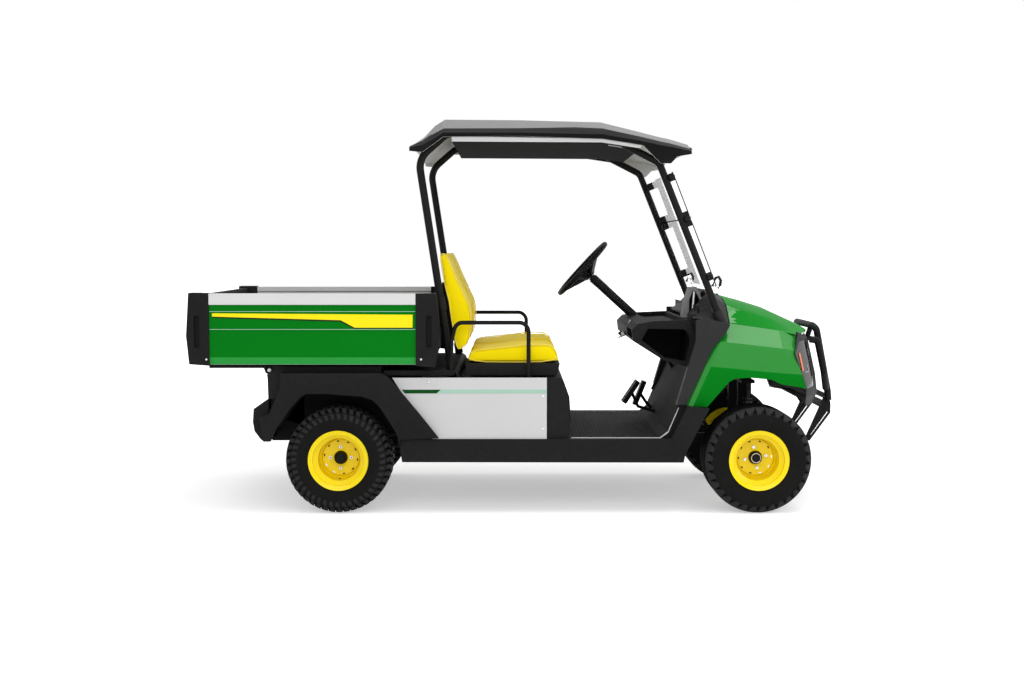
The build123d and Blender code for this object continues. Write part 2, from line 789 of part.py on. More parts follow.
# Kick panel: moulded front of the seat base, with a recess low in its middle
kick_half = 575
seat_pin_x = seat_front - 28
seat_pin_z = deck_z + 10
seat_pin_radius = 4
lug_width = 10
seat_lugs = (296, 334)
with BuildPart() as kick_panel:
    kick_line = [
        (panel_front, floor_z + 2),
        (seat_front + 36, floor_z + 4),
        (seat_front + 47, floor_z + 89),
        (seat_front + 39, floor_z + 202),
        (seat_front + 13, floor_z + 274),
        (seat_front - 2, deck_z - 4),
        (panel_front, deck_z - 4),
    ]
    add(across(kick_line, kick_half))
    cavity = [
        (panel_front, floor_z + skin),
        (seat_front + 26, floor_z + skin + 4),
        (seat_front + 37, floor_z + 89),
        (seat_front + 29, floor_z + 200),
        (seat_front + 4, floor_z + 268),
        (seat_front - 8, deck_z - 14),
        (panel_front, deck_z - 14),
    ]
    add(across(cavity, kick_half - skin), mode=Mode.SUBTRACT)
    # Lugs and pins on which the seat tips forward
    for y in seat_lugs:
        lug = ((seat_pin_x - 8, deck_z - 12), (seat_pin_x + 8, seat_pin_z + 8))
        add(both_sides(y, y + lug_width, *lug))
    for side in (-1, 1):
        pin = [(seat_pin_x, side * y, seat_pin_z) for y in (seat_lugs[0], seat_lugs[1] + lug_width)]
        add(rod(*pin, seat_pin_radius))
kick_panel.part.label = "kick_panel"
export_step(kick_panel.part, "parts/kick_panel.step")

# Rear platform between the seat and the bed, which carries the feet of the roll cage
platform_rear = rear_x + 215
platform_front = rear_x + 578
platform_top = bed_z - 29
with BuildPart() as platform:
    profile = [
        (platform_rear, platform_top - 24),
        (platform_rear, platform_top),
        (platform_front - 26, platform_top),
        (platform_front - 8, platform_top - 12),
        (platform_front, deck_z),
        (platform_front, deck_z - 3),
        (platform_front - 14, deck_z - 3),
        (platform_front - 20, platform_top - 14),
        (platform_front - 30, platform_top - 10),
        (platform_rear + 10, platform_top - 10),
        (platform_rear + 10, platform_top - 24),
    ]
    add(across(profile, sill_inner))
    for side in (-1, 1):
        low_y, high_y = sorted((side * sill_inner, side * (sill_inner - skin)))
        add(block((platform_rear, low_y, platform_top - 24), (platform_front - 26, high_y, platform_top)))
platform.part.label = "platform"
export_step(platform.part, "parts/platform.step")

# Front fenders: faceted skins from the hood seam down to the wheel arch
hood_half = 450
crease_half = 560
front_rear_x = front_x - 345
front_nose_x = front_x + 245


def fender_sections(inset):
    rows = []
    for x, seam_z, crease_z, low_z in (
        (front_rear_x, 559, 482, 356),
        (front_x - 118, 544, 457, 337),
        (front_x + 113, 510, 430, 316),
        (front_nose_x, 489, 408, 300),
    ):
        rows.append(
            (
                x,
                [
                    (hood_half + seam, floor_z + seam_z - inset),
                    (crease_half - inset, floor_z + crease_z - inset * 0.6),
                    (front_fender_half - inset, floor_z + low_z),
                    (front_fender_half - 6 - inset, floor_z + 124),
                ],
            )
        )
    return rows


fender_outline = [
    (front_x - 132, floor_z + 551),
    (front_x - 161, floor_z + 499),
    (front_x - 218, floor_z + 433),
    (front_x - 277, floor_z + 301),
    (front_x - 343, floor_z + 158),
    (front_x - 241, floor_z + 148),
    (front_x - 138, floor_z + 270),
    (front_x - 110, floor_z + 286),
    (front_x - 44, floor_z + 291),
    (front_x + 61, floor_z + 282),
    (front_x + 113, floor_z + 258),
    (front_x + 214, floor_z + 239),
    (front_x + 239, floor_z + 231),
    (front_x + 171, floor_z + 406),
    (front_x + 187, floor_z + 462),
    (front_x + 202, floor_z + 500),
    (front_x + 190, floor_z + 560),
]


def fender_room(start, margin):
    """The fenders' side outline grown by a margin, running outwards from one half width."""
    reach = front_fender_half + 60 - hood_half
    with BuildPart() as body:
        with BuildSketch(Plane.XZ.offset(start)) as outline:
            add(polygon_face(Plane.XZ, fender_outline))
            offset(amount=margin, kind=Kind.INTERSECTION)
        extrude(outline.sketch, amount=reach)
    return body.part


with BuildPart() as front_fenders:
    outer_rows = fender_sections(0)
    inner_rows = fender_sections(skin)
    for (x, outer), (_, inner) in zip(outer_rows, inner_rows):
        with BuildSketch(Plane.YZ.offset(x)):
            with BuildLine():
                Polyline(*[(-y, z) for y, z in outer], *[(-y, z) for y, z in reversed(inner)], close=True)
            make_face()
    loft(ruled=True)
    add(side_plate(fender_outline, hood_half, front_fender_half + 60), mode=Mode.INTERSECT)
    mirror(about=Plane.XZ)
front_fenders.part.label = "front_fenders"
export_step(front_fenders.part, "parts/front_fenders.step")

# Hood: a faceted shell that lifts from its front edge
hood_crease = 330
hood_edge = hood_half - 1
hood_rear = front_x - 122
hood_front = front_x + 297
hinge_x = hood_rear + 1
hinge_z = floor_z + 669
hinge_pin_radius = 4
sleeve_half = 20


def hood_loft(above, below):
    """The hood's outline from `above` over its surface down to `below` under it."""
    rows = []
    for x, top, shoulder, crease, edge in (
        (hood_rear, 671, 658, 628, 546),
        (front_x - 10, 641, 627, 595, 528),
        (front_x + 103, 606, 591, 558, 510),
        (front_x + 200, 562, 546, 512, 489),
        (hood_front, 517, 502, 480, 456),
    ):
        over = [(0, top), (200, shoulder), (hood_crease, crease), (hood_edge, edge)]
        under = [(hood_edge - below, edge), (hood_crease - 4, crease), (200, shoulder), (0, top)]
        half = [(y, floor_z + z + above) for y, z in over]
        half += [(y, floor_z + z - (below if y < hood_edge - below else 0)) for y, z in under]
        rows.append((x, half))
    return section_loft(rows)


def hood_plan(margin):
    """The hood's plan, whose front edge is swept back to the corners."""
    with BuildPart() as body:
        with BuildSketch(Plane.XY.offset(floor_z + 300)) as plan:
            with BuildLine():
                Polyline(
                    (hood_rear, -hood_half),
                    (front_x + 190, -hood_half),
                    (front_x + 255, -hood_crease),
                    (hood_front, -200),
                    (hood_front, 200),
                    (front_x + 255, hood_crease),
                    (front_x + 190, hood_half),
                    (hood_rear, hood_half),
                    close=True,
                )
            make_face()
            offset(amount=margin, kind=Kind.INTERSECTION)
        extrude(plan.sketch, amount=500)
    return body.part


with BuildPart() as hood:
    add(hood_loft(0, skin))
    add(hood_plan(0), mode=Mode.INTERSECT)
    # Hinge sleeve at the middle of the rear edge, between notches for the cowl's lugs
    for low_y in (-sleeve_half - 14, sleeve_half):
        notch = ((hood_rear - 2, low_y, hinge_z - 30), (hood_rear + 13, low_y + 14, hinge_z + 20))
        add(block(*notch), mode=Mode.SUBTRACT)
    sleeve = [(hinge_x, y, hinge_z) for y in (-sleeve_half, sleeve_half)]
    add(rod(*sleeve, hinge_pin_radius + 2.5))
    add(rod(*sleeve, hinge_pin_radius + running_clearance), mode=Mode.SUBTRACT)
hood.part.label = "hood"
export_step(hood.part, "parts/hood.step")

# Cowl: the raised black panel between the windshield and the hood
cowl_front = hood_rear - 6
cowl_rear = front_x - 215


def cowl_row(x, top, shoulder, crease, edge, low):
    """One cross-section of the cowl, with heights above the floor."""
    outer = [(0, top), (200, shoulder), (hood_crease, crease), (hood_edge, edge), (cage_half + 22, low)]
    inner = [
        (cage_half + 12, low - 3),
        (hood_edge - skin, edge - 4),
        (hood_crease - 6, crease - skin),
        (200, shoulder - skin),
        (0, top - skin),
    ]
    return (x, [(y, floor_z + z) for y, z in outer + inner])


# The front posts' line decides the sockets
post_foot = (front_x - 163, floor_z + 534)
post_bend = (front_x - 475, floor_z + 1312)
post_unit = Vector(post_bend[0] - post_foot[0], 0, post_bend[1] - post_foot[1]).normalized()
trim_outer = front_fender_half - 14
socket_length = 92
grab_inner = 170
grab_outer = 290
with BuildPart() as cowl:
    add(
        section_loft(
            [
                cowl_row(front_x - 308, 586, 585, 584, 580, 574),
                cowl_row(cowl_rear, 702, 696, 680, 634, 560),
                cowl_row(front_x - 178, 696, 688, 666, 602, 544),
                cowl_row(cowl_front, 674, 661, 631, 549, 506),
            ]
        )
    )
    # Lugs and pin of the hood's hinge
    for low_y in (-sleeve_half - 12, sleeve_half + 2):
        add(block((cowl_front - 4, low_y, hinge_z - 9), (hinge_x + 4, low_y + 10, hinge_z + 5)))
    pin = [(hinge_x, y, hinge_z) for y in (-sleeve_half - 12, sleeve_half + 12)]
    add(rod(*pin, hinge_pin_radius))
    # Pillar trims below the front posts, each with its post socket
    trim_side = [
        (front_x - 300, floor_z + 474),
        (front_x - 300, floor_z + 562),
        (front_x - 262, floor_z + 574),
        (front_x - 140, floor_z + 548),
        (front_x - 145, floor_z + 490),
        (front_x - 200, floor_z + 430),
        (front_x - 260, floor_z + 301),
        (front_x - 330, floor_z + 161),
        (front_x - 389, floor_z + 161),
        (front_x - 306, floor_z + 446),
    ]
    for side in (-1, 1):
        trim = side_plate(trim_side, cage_half + 10, trim_outer)
        add(trim if side < 0 else mirror(trim, about=Plane.XZ))
        foot = Vector(post_foot[0], side * cage_half, post_foot[1]) - post_unit * 12
        top = foot + post_unit * socket_length
        add(rod(tuple(foot), tuple(top), post_radius + 9))
    for side in (-1, 1):
        seat = Vector(post_foot[0], side * cage_half, post_foot[1]) - post_unit * 2
        top = seat + post_unit * (socket_length + 40)
        add(rod(tuple(seat), tuple(top), post_radius + seat_clearance), mode=Mode.SUBTRACT)
    add(fender_room(hood_half, seat_clearance), mode=Mode.SUBTRACT)
    add(fender_room(-front_fender_half - 60, seat_clearance), mode=Mode.SUBTRACT)
    # Tongues that run on under the fenders' rear edges
    tongue = [
        (front_x - 306, floor_z + 446),
        (front_x - 176, floor_z + 440),
        (front_x - 236, floor_z + 301),
        (front_x - 292, floor_z + 170),
        (front_x - 380, floor_z + 170),
    ]
    for side in (-1, 1):
        plate = side_plate(tongue, cage_half + 10, crease_half - 20)
        add(plate if side < 0 else mirror(plate, about=Plane.XZ))
    # Notch round the grab handle's bezel
    notch = ((front_x - 336, -grab_outer - 1, floor_z + 500), (cowl_rear + 2, 1 - grab_inner, floor_z + 720))
    add(block(*notch), mode=Mode.SUBTRACT)
cowl.part.label = "cowl"
export_step(cowl.part, "parts/cowl.step")

# Dash: moulded body with an open cubby on the right and a tray on top
dash_half = 480
dash_rear = front_x - 569
with BuildPart() as dash:
    dash_side = [
        (dash_rear, floor_z + 543),
        (front_x - 500, floor_z + 556),
        (front_x - 319, floor_z + 564),
        (front_x - 304, floor_z + 520),
        (front_x - 290, floor_z + 476),
        (front_x - 300, floor_z + 389),
        (front_x - 319, floor_z + 335),
        (front_x - 370, floor_z + 346),
        (front_x - 448, floor_z + 370),
        (dash_rear - 23, floor_z + 461),
        (dash_rear - 29, floor_z + 514),
    ]
    add(across(dash_side, dash_half))
    # Tray in the top
    tray = [
        (front_x - 505, floor_z + 590),
        (front_x - 505, floor_z + 532),
        (front_x - 340, floor_z + 540),
        (front_x - 340, floor_z + 590),
    ]
    add(across(tray, dash_half - 30), mode=Mode.SUBTRACT)
    # Cubby, open to the right and to the rear
    cubby = [
        (front_x - 521, floor_z + 520),
        (front_x - 350, floor_z + 518),
        (front_x - 324, floor_z + 498),
        (front_x - 318, floor_z + 452),
        (front_x - 340, floor_z + 362),
        (front_x - 438, floor_z + 380),
        (front_x - 551, floor_z + 465),
    ]
    add(side_plate(cubby, 150, dash_half + 20), mode=Mode.SUBTRACT)
    mouth = [
        (front_x - 500, floor_z + 514),
        (front_x - 500, floor_z + 455),
        (dash_rear - 60, floor_z + 478),
        (dash_rear - 60, floor_z + 514),
    ]
    add(side_plate(mouth, 180, dash_half - 26), mode=Mode.SUBTRACT)
    # Room for the steering column and the shaft below it
    column_end = column_top + column_unit * (column_reach + 4)
    add(rod(tuple(column_top), tuple(column_end), column_radius + seat_clearance), mode=Mode.SUBTRACT)
    add(rod(tuple(column_end), tuple(gear_head), shaft_radius + 8), mode=Mode.SUBTRACT)
dash.part.label = "dash"
export_step(dash.part, "parts/dash.step")

# Dash fittings: switch panel with knob and key for the driver, grab handle in a bezel for the passenger
with BuildPart() as dash_fittings:
    face_x = dash_rear - 23
    add(
        across(
            [
                (dash_rear - 9, floor_z + 544),
                (face_x - 22, floor_z + 480),
                (face_x - 1, floor_z + 461),
                (dash_rear - 30, floor_z + 514),
                (dash_rear - 1, floor_z + 543.4),
            ],
            120,
        )
    )
    outward = Vector(-0.75, 0, -0.66).normalized()
    for y, radius, reach in ((30, 15, 22), (-40, 13, 12), (-40, 3.5, 38)):
        foot = Vector(face_x - 10, y, floor_z + 470) - outward * 2
        add(rod(tuple(foot), tuple(foot + outward * reach), radius))
    bezel = [
        (front_x - 330, floor_z + 564.5),
        (front_x - 319, floor_z + 640),
        (front_x - 294, floor_z + 713),
        (front_x - 262, floor_z + 716),
        (front_x - 232, floor_z + 650),
        (front_x - 218, floor_z + 564.5),
    ]
    add(side_plate(bezel, grab_inner, grab_outer))
    window = [
        (front_x - 300, floor_z + 585),
        (front_x - 300, floor_z + 650),
        (front_x - 284, floor_z + 694),
        (front_x - 268, floor_z + 694),
        (front_x - 246, floor_z + 648),
        (front_x - 240, floor_z + 585),
    ]
    add(side_plate(window, grab_outer - 50, grab_outer + 1), mode=Mode.SUBTRACT)
    handle = [(front_x + x, 14 - grab_outer, floor_z + z) for x, z in ((-280, 584), (-274, 692))]
    add(rod(*handle, 8))
dash_fittings.part.label = "dash_fittings"
export_step(dash_fittings.part, "parts/dash_fittings.step")

# Steering column and wheel on that axis
with BuildPart() as steering_column:
    add(rod(tuple(column_top), tuple(column_top + column_unit * column_reach), column_radius))
    sleeve = column_top - column_unit * 1
    add(rod(tuple(sleeve), tuple(sleeve + column_unit * 61), 10 + running_clearance), mode=Mode.SUBTRACT)
    # Lower shaft from the column's foot to the gear
    add(rod(tuple(column_foot), tuple(gear_head), shaft_radius))
steering_column.part.label = "steering_column"
export_step(steering_column.part, "parts/steering_column.step")

rim_radius = (wheel_rim_diameter - wheel_rim_section) / 2
with BuildPart() as steering_wheel:
    wheel_plane = Plane(origin=tuple(wheel_centre), x_dir=(0, 1, 0), z_dir=tuple(-column_unit))
    with BuildSketch(Plane(origin=tuple(wheel_centre), x_dir=(0, 1, 0), z_dir=tuple(wheel_plane.y_dir))):
        with Locations((rim_radius, 0)):
            Circle(wheel_rim_section / 2)
    revolve(axis=Axis(tuple(wheel_centre), tuple(wheel_plane.z_dir)))
    with BuildSketch(wheel_plane.offset(-34)):
        Circle(52)
    extrude(amount=22)
    with BuildSketch(wheel_plane.offset(-hub_depth)):
        Circle(26)
    extrude(amount=30)
    with BuildSketch(wheel_plane.offset(-hub_depth - 60)):
        Circle(10)
    extrude(amount=62)
    for angle in (90, 210, 330):
        turn = math.radians(angle)
        outward = wheel_plane.x_dir * math.cos(turn) + wheel_plane.y_dir * math.sin(turn)
        root = wheel_centre - wheel_plane.z_dir * 24 + outward * 40
        tip = wheel_centre - wheel_plane.z_dir * 2 + outward * rim_radius
        arm = tip - root
        flat = wheel_plane.z_dir.cross(outward)
        with BuildSketch(Plane(origin=tuple(root), x_dir=tuple(flat), z_dir=tuple(arm))) as spoke:
            RectangleRounded(34, 11, 4)
        extrude(spoke.sketch, amount=arm.length)
steering_wheel.part.label = "steering_wheel"
export_step(steering_wheel.part, "parts/steering_wheel.step")

# Pedals on arms from the toe slope
with BuildPart() as pedals:
    for y, width, low, high in (
        (driver_y - 70, 90, (front_x - 583, floor_z + 92), (front_x - 508, floor_z + 205)),
        (driver_y + 90, 60, (front_x - 510, floor_z + 60), (front_x - 458, floor_z + 190)),
    ):
        pad = Vector(high[0] - low[0], 0, high[1] - low[1])
        normal = Vector(-pad.Z, 0, pad.X).normalized()
        middle = Vector((low[0] + high[0]) / 2, y, (low[1] + high[1]) / 2)
        with BuildSketch(Plane(origin=tuple(middle), x_dir=(0, 1, 0), z_dir=tuple(normal))) as plate:
            RectangleRounded(width, pad.length, 10)
        extrude(plate.sketch, amount=12, both=True)
        foot = Vector(slope_knee + 10, y, floor_z + 44)
        bend = Vector(middle.X + 40, y, floor_z + 70)
        add(rod((middle.X + 8, y, middle.Z - 8), tuple(bend), 8))
        with Locations(tuple(bend)):
            Sphere(8)
        add(rod(tuple(bend), tuple(foot), 8))
    toe_room = [
        (slope_knee - seat_clearance, floor_z + 29),
        (firewall_x - seat_clearance, firewall_top),
        (firewall_x + 60, firewall_top),
        (slope_knee + 60, floor_z + 29),
    ]
    add(across(toe_room, sill_inner), mode=Mode.SUBTRACT)
pedals.part.label = "pedals"
export_step(pedals.part, "parts/pedals.step")

# Front fascia: a shell swept back to its corners, with the grille between the lamps
fascia_top = 505
fascia_front = [
    (262, fascia_top - 5),
    (277, 457),
    (313, 300),
    (325, 201),
    (301, 147),
]


def fascia_body(inset, back):
    """The fascia's bulk, drawn in by an inset and reaching back to a given x."""
    rows = []
    for y, sweep, rise in ((-548, -112, -8), (-450, -44, -2), (-350, 0, 0), (-200, 16, 8)):
        rows.append((y - inset * y / 548 * 1.2, sweep, rise))
    rows += [(-y, sweep, rise) for y, sweep, rise in reversed(rows)]
    with BuildPart() as body:
        for y, sweep, rise in rows:
            points = [(back + sweep, fascia_top + rise - inset)]
            for i, (x, z) in enumerate(fascia_front):
                drop = -inset if i < 2 else inset if i == 4 else 0
                points.append((x + sweep - inset, z + rise + drop))
            points.append((back + sweep, 152 + rise + inset))
            line = [(front_x + x, floor_z + z) for x, z in points]
            add(polygon_face(Plane.XZ.offset(-y), line))
        loft(ruled=True)
    return body.part


lamp_side = [
    (front_x + 204, floor_z + 460),
    (front_x + 175, floor_z + 408),
    (front_x + 245, floor_z + 232),
    (front_x + 290, floor_z + 240),
    (front_x + 262, floor_z + 440),
    (front_x + 250, floor_z + 462),
]
lamp_inner = 396
with BuildPart() as front_fascia:
    add(fascia_body(0, 240))
    add(fascia_body(skin, 150), mode=Mode.SUBTRACT)
    add(hood_loft(120, skin + seam), mode=Mode.SUBTRACT)
    add(fender_room(hood_half, seat_clearance), mode=Mode.SUBTRACT)
    add(fender_room(-front_fender_half - 60, seat_clearance), mode=Mode.SUBTRACT)
    # The lower corners end at the fender's front edge
    corner = [
        (front_x + 60, floor_z + 265),
        (front_x + 205, floor_z + 265),
        (front_x + 242, floor_z + 235),
        (front_x + 236, floor_z + 180),
        (front_x + 250, floor_z + 120),
        (front_x + 60, floor_z + 120),
    ]
    add(side_plate(corner, 330, 600), mode=Mode.SUBTRACT)
    add(mirror(side_plate(corner, 330, 600), about=Plane.XZ), mode=Mode.SUBTRACT)
    # Grille opening with its slats
    with BuildSketch(Plane.YZ.offset(front_x + 225)):
        with Locations((0, floor_z + 320)):
            RectangleRounded(440, 190, 30)
    extrude(amount=130, mode=Mode.SUBTRACT)
    for level in (-60, -20, 20, 60):
        add(
            across(
                [
                    (front_x + 278, floor_z + 324 + level),
                    (front_x + 316 - level * 0.2, floor_z + 316 + level),
                    (front_x + 316 - level * 0.2, floor_z + 322 + level),
                    (front_x + 278, floor_z + 330 + level),
                ],
                222,
            )
        )
fascia_whole = front_fascia.part
lamp_prism = side_plate(lamp_side, lamp_inner, 560)
lamp_prism += mirror(lamp_prism, about=Plane.XZ)

with BuildPart() as lamps:
    add(fascia_whole)
    add(lamp_prism, mode=Mode.INTERSECT)
    # Tail lamps behind the pockets of the rear fascia
    for side in (-1, 1):
        for level in (0, 1):
            with Locations((rear_x - 386, side * (fascia_half - 90), axle_z + 150 + 48 * level)):
                Box(20, 110 - 2 * seat_clearance, 30 - 2 * seat_clearance)
lamps.part.label = "lamps"
export_step(lamps.part, "parts/lamps.step")

front_fascia_part = fascia_whole - lamp_prism
front_fascia_part.label = "front_fascia"
export_step(front_fascia_part, "parts/front_fascia.step")

# Brush guard: a central hoop, side tubes that join it and a slotted skid below
guard_radius = 17
guard_half = 240
with BuildPart() as brush_guard:
    hoop = [
        (front_x + 406, -guard_half, floor_z + 150),
        (front_x + 401, -guard_half, floor_z + 200),
        (front_x + 342, -guard_half, floor_z + 505),
        (front_x + 334, -guard_half + 50, floor_z + 520),
        (front_x + 334, guard_half - 50, floor_z + 520),
        (front_x + 342, guard_half, floor_z + 505),
        (front_x + 401, guard_half, floor_z + 200),
        (front_x + 406, guard_half, floor_z + 150),
    ]
    add(bent_tube(hoop, guard_radius, 20))
    for side in (-1, 1):
        add(rod((front_x + 311, side * 150, floor_z + 445), (front_x + 334, side * 150, floor_z + 518), 13))
        tube = [
            (front_x + 290, side * 330, floor_z + 460),
            (front_x + 328, side * 330, floor_z + 455),
            (front_x + 362, side * 330, floor_z + 300),
            (front_x + 390, side * (guard_half + 12), floor_z + 212),
        ]
        add(bent_tube(tube, guard_radius, 18))
    add(rod((front_x + 402, -guard_half, floor_z + 165), (front_x + 402, guard_half, floor_z + 165), 14))
    skid_side = [
        (front_x + 388, floor_z + 158),
        (front_x + 418, floor_z + 158),
        (front_x + 423, floor_z + 126),
        (front_x + 423, floor_z + 84),
        (front_x + 321, floor_z - 57),
        (front_x + 190, floor_z - 57),
        (front_x + 190, floor_z - 45),
        (front_x + 300, floor_z - 45),
    ]
    slot = [
        (front_x + 408, floor_z + 92),
        (front_x + 412, floor_z + 84),
        (front_x + 330, floor_z - 30),
        (front_x + 322, floor_z - 30),
    ]
    with BuildPart(mode=Mode.PRIVATE) as skid:
        add(side_plate(skid_side, guard_half - 40, guard_half - 20))
        add(side_plate(slot, guard_half - 41, guard_half - 19), mode=Mode.SUBTRACT)
        mirror(about=Plane.XZ)
    add(skid.part)
    bar_half = guard_half - 30
    add(block((front_x + 392, -bar_half, floor_z + 100), (front_x + 400, bar_half, floor_z + 140)))
    add(block((front_x + 190, -bar_half, floor_z - 55), (front_x + 200, bar_half, floor_z - 47)))
brush_guard.part.label = "brush_guard"
export_step(brush_guard.part, "parts/brush_guard.step")

# Roll cage: rear posts that lean back, roof rails and leaning front posts
cage_foot = (rear_x + 535, platform_top)
cage_bend = (rear_x + 382, floor_z + 1329)
roof_rail_z = roof_z + 22
rail_back = (rear_x + 660, roof_rail_z)
rail_fore = (front_x - 800, roof_rail_z)
with BuildPart() as rear_posts:
    line = [
        (cage_foot[0], -cage_half, cage_foot[1]),
        (cage_bend[0], -cage_half, cage_bend[1]),
        (cage_bend[0] + 138, -cage_half, roof_rail_z),
        (rail_back[0], -cage_half, rail_back[1]),
    ]
    add(bent_tube(line, tube_radius, [105, 70]))
    sleeve_foot = Vector(cage_foot[0], -cage_half, cage_foot[1])
    climb = (Vector(cage_bend[0], -cage_half, cage_bend[1]) - sleeve_foot).normalized()
    add(rod(tuple(sleeve_foot + climb * 6), tuple(sleeve_foot + climb * 60), tube_radius + 4))
    add(rod(tuple(sleeve_foot + climb * 290), tuple(sleeve_foot + climb * 350), tube_radius + 4))
    mirror(about=Plane.XZ)
    cut = Box(4000, 2000, 100, align=(Align.CENTER, Align.CENTER, Align.MAX), mode=Mode.PRIVATE)
    add(cut.moved(Location((0, 0, platform_top))), mode=Mode.SUBTRACT)
rear_posts.part.label = "rear_posts"
export_step(rear_posts.part, "parts/rear_posts.step")

with BuildPart() as roof_frame:
    add(rod((rail_back[0], -cage_half, rail_back[1]), (rail_fore[0], -cage_half, rail_fore[1]), tube_radius))
    mirror(about=Plane.XZ)
    for x, z in ((rail_back[0] + 30, rail_back[1]), (rail_fore[0] - 30, rail_fore[1])):
        add(rod((x, -cage_half, z), (x, cage_half, z), tube_radius - 4))
    # Pads on the rails that carry the roof
    for x, pad_top in ((-180, roof_z + 42.2), (120, roof_z + 41.3)):
        add(both_sides(cage_half - 15, cage_half + 15, (x - 20, roof_rail_z), (x + 20, pad_top)))
roof_frame.part.label = "roof_frame"
export_step(roof_frame.part, "parts/roof_frame.step")

with BuildPart() as front_posts:
    line = [
        (rail_fore[0], -cage_half, rail_fore[1]),
        (rail_fore[0] + 55, -cage_half, roof_rail_z),
        (post_bend[0], -cage_half, post_bend[1]),
        (post_foot[0], -cage_half, post_foot[1]),
    ]
    add(bent_tube(line, post_radius, 55))
    mirror(about=Plane.XZ)
front_posts.part.label = "front_posts"
export_step(front_posts.part, "parts/front_posts.step")

# Cross bars behind the seats, with the plates that carry the backrests
backrest_low = Vector(seat_front - 518, 0, floor_z + 512)
backrest_high = Vector(seat_front - 586, 0, floor_z + 882)
with BuildPart() as backrest_bars:
    cage_low = Vector(cage_foot[0], 0, cage_foot[1])
    cage_climb = (Vector(cage_bend[0], 0, cage_bend[1]) - cage_low).normalized()
    for rise in (120, 375):
        at = cage_low + cage_climb * rise
        reach = cage_half - tube_radius - seat_clearance
        add(rod((at.X, -reach, at.Z), (at.X, reach, at.Z), 14))
    lean_rate = (backrest_high.X - backrest_low.X) / (backrest_high.Z - backrest_low.Z)
    cage_rate = cage_climb.X / cage_climb.Z
    low_z = floor_z + 430
    high_z = floor_z + 735
    plate_side = [
        (backrest_low.X + lean_rate * (z - backrest_low.Z) - seat_clearance, z) for z in (low_z + 90, high_z)
    ]
    plate_side += [(cage_low.X + cage_rate * (z - cage_low.Z), z) for z in (high_z, low_z)]
    for y in (110, 360):
        add(side_plate(plate_side, y, y + 40))
        add(mirror(side_plate(plate_side, y, y + 40), about=Plane.XZ))
backrest_bars.part.label = "backrest_bars"
export_step(backrest_bars.part, "parts/backrest_bars.step")

# Roof: hard shell with a raised middle, sloping sides and skirts round the posts
skirt = 12


def roof_row(x, middle, shoulder, flank, brim, hem):
    """One cross-section of the roof's shell, with heights above the roof's datum."""
    outer = [(0, middle), (430, shoulder), (roof_half - 50, flank), (roof_half, brim), (roof_half, hem)]
    inner = [
        (roof_half - skirt, hem),
        (roof_half - skirt, brim - 5),
        (roof_half - 60, flank - skirt),
        (425, shoulder - skirt),
        (0, middle - skirt),
    ]
    return (x, [(y, roof_z + z) for y, z in outer + inner])


roof_rows = [
    roof_row(rear_x + 346, -26, -32, -42, -52, -68),
    roof_row(rear_x + 406, 21, 9, -16, -42, -74),
    roof_row(rear_x + 456, 88, 62, 14, -16, -39),
    roof_row(rear_x + 505, 130, 93, 40, 16, -3),
    roof_row(rear_x + 864, 130, 90, 41, 16, 0),
    roof_row(front_x - 750, 119, 80, 40, 8, -13),
    roof_row(front_x - 562, 76, 34, 0, -24, -42),
    roof_row(front_x - 478, 54, 12, -20, -42, -126),
    roof_row(front_x - 430, 44, 2, -30, -50, -126),
    roof_row(front_x - 400, 36, -6, -38, -56, -94),
    roof_row(front_x - 334, 18, -26, -56, -70, -83),
]
with BuildPart() as roof:
    add(section_loft(roof_rows))
    # Visor tip that closes the front
    tip = [
        (front_x - 334, roof_z + 17),
        (front_x - 294, roof_z - 20),
        (front_x - 292, roof_z - 42),
        (front_x - 334, roof_z - 32),
    ]
    add(across(tip, 300))
roof.part.label = "roof"
export_step(roof.part, "parts/roof.step")

# Roof liner: pale panel inside the shell with slots where the cage passes
liner_drop = 24
with BuildPart() as roof_liner:
    liner_side = [
        (rear_x + 544, roof_z),
        (front_x - 755, roof_z - 10),
        (front_x - 570, roof_z - 40),
        (front_x - 570, roof_z - 56),
        (front_x - 755, roof_z - liner_drop - 4),
        (rear_x + 544, roof_z - liner_drop),
    ]
    add(across(liner_side, roof_half - skirt - seat_clearance))
    slot_half = tube_radius + 10
    slot_low = (front_x - 715, roof_z - 100)
    slot_high = (front_x - 560, roof_z + 50)
    add(both_sides(cage_half - slot_half, cage_half + slot_half, slot_low, slot_high), mode=Mode.SUBTRACT)
roof_liner.part.label = "roof_liner"
export_step(roof_liner.part, "parts/roof_liner.step")

# Folding windshield: an upper and a lower pane ahead of the posts
pane_half = 500
pane_top = (front_x - 414, floor_z + 1269)
pane_foot = (front_x - 198, floor_z + 720)
pane_slope = Vector(pane_foot[0] - pane_top[0], 0, pane_foot[1] - pane_top[1])
pane_normal = Vector(-pane_slope.Z, 0, pane_slope.X).normalized()
pane_unit = pane_slope.normalized()
upper_share = 0.4
with BuildPart() as windshield:
    for start, end in ((0, upper_share), (upper_share + 0.012, 1)):
        first = pane_slope.length * start
        last = pane_slope.length * end
        centre = Vector(pane_top[0], 0, pane_top[1]) + pane_unit * (first + last) / 2
        with BuildSketch(Plane(origin=tuple(centre), x_dir=(0, 1, 0), z_dir=tuple(pane_normal))) as pane:
            RectangleRounded(2 * pane_half, last - first, 25)
        extrude(pane.sketch, amount=glass_thickness)
windshield.part.label = "windshield"
export_step(windshield.part, "parts/windshield.step")

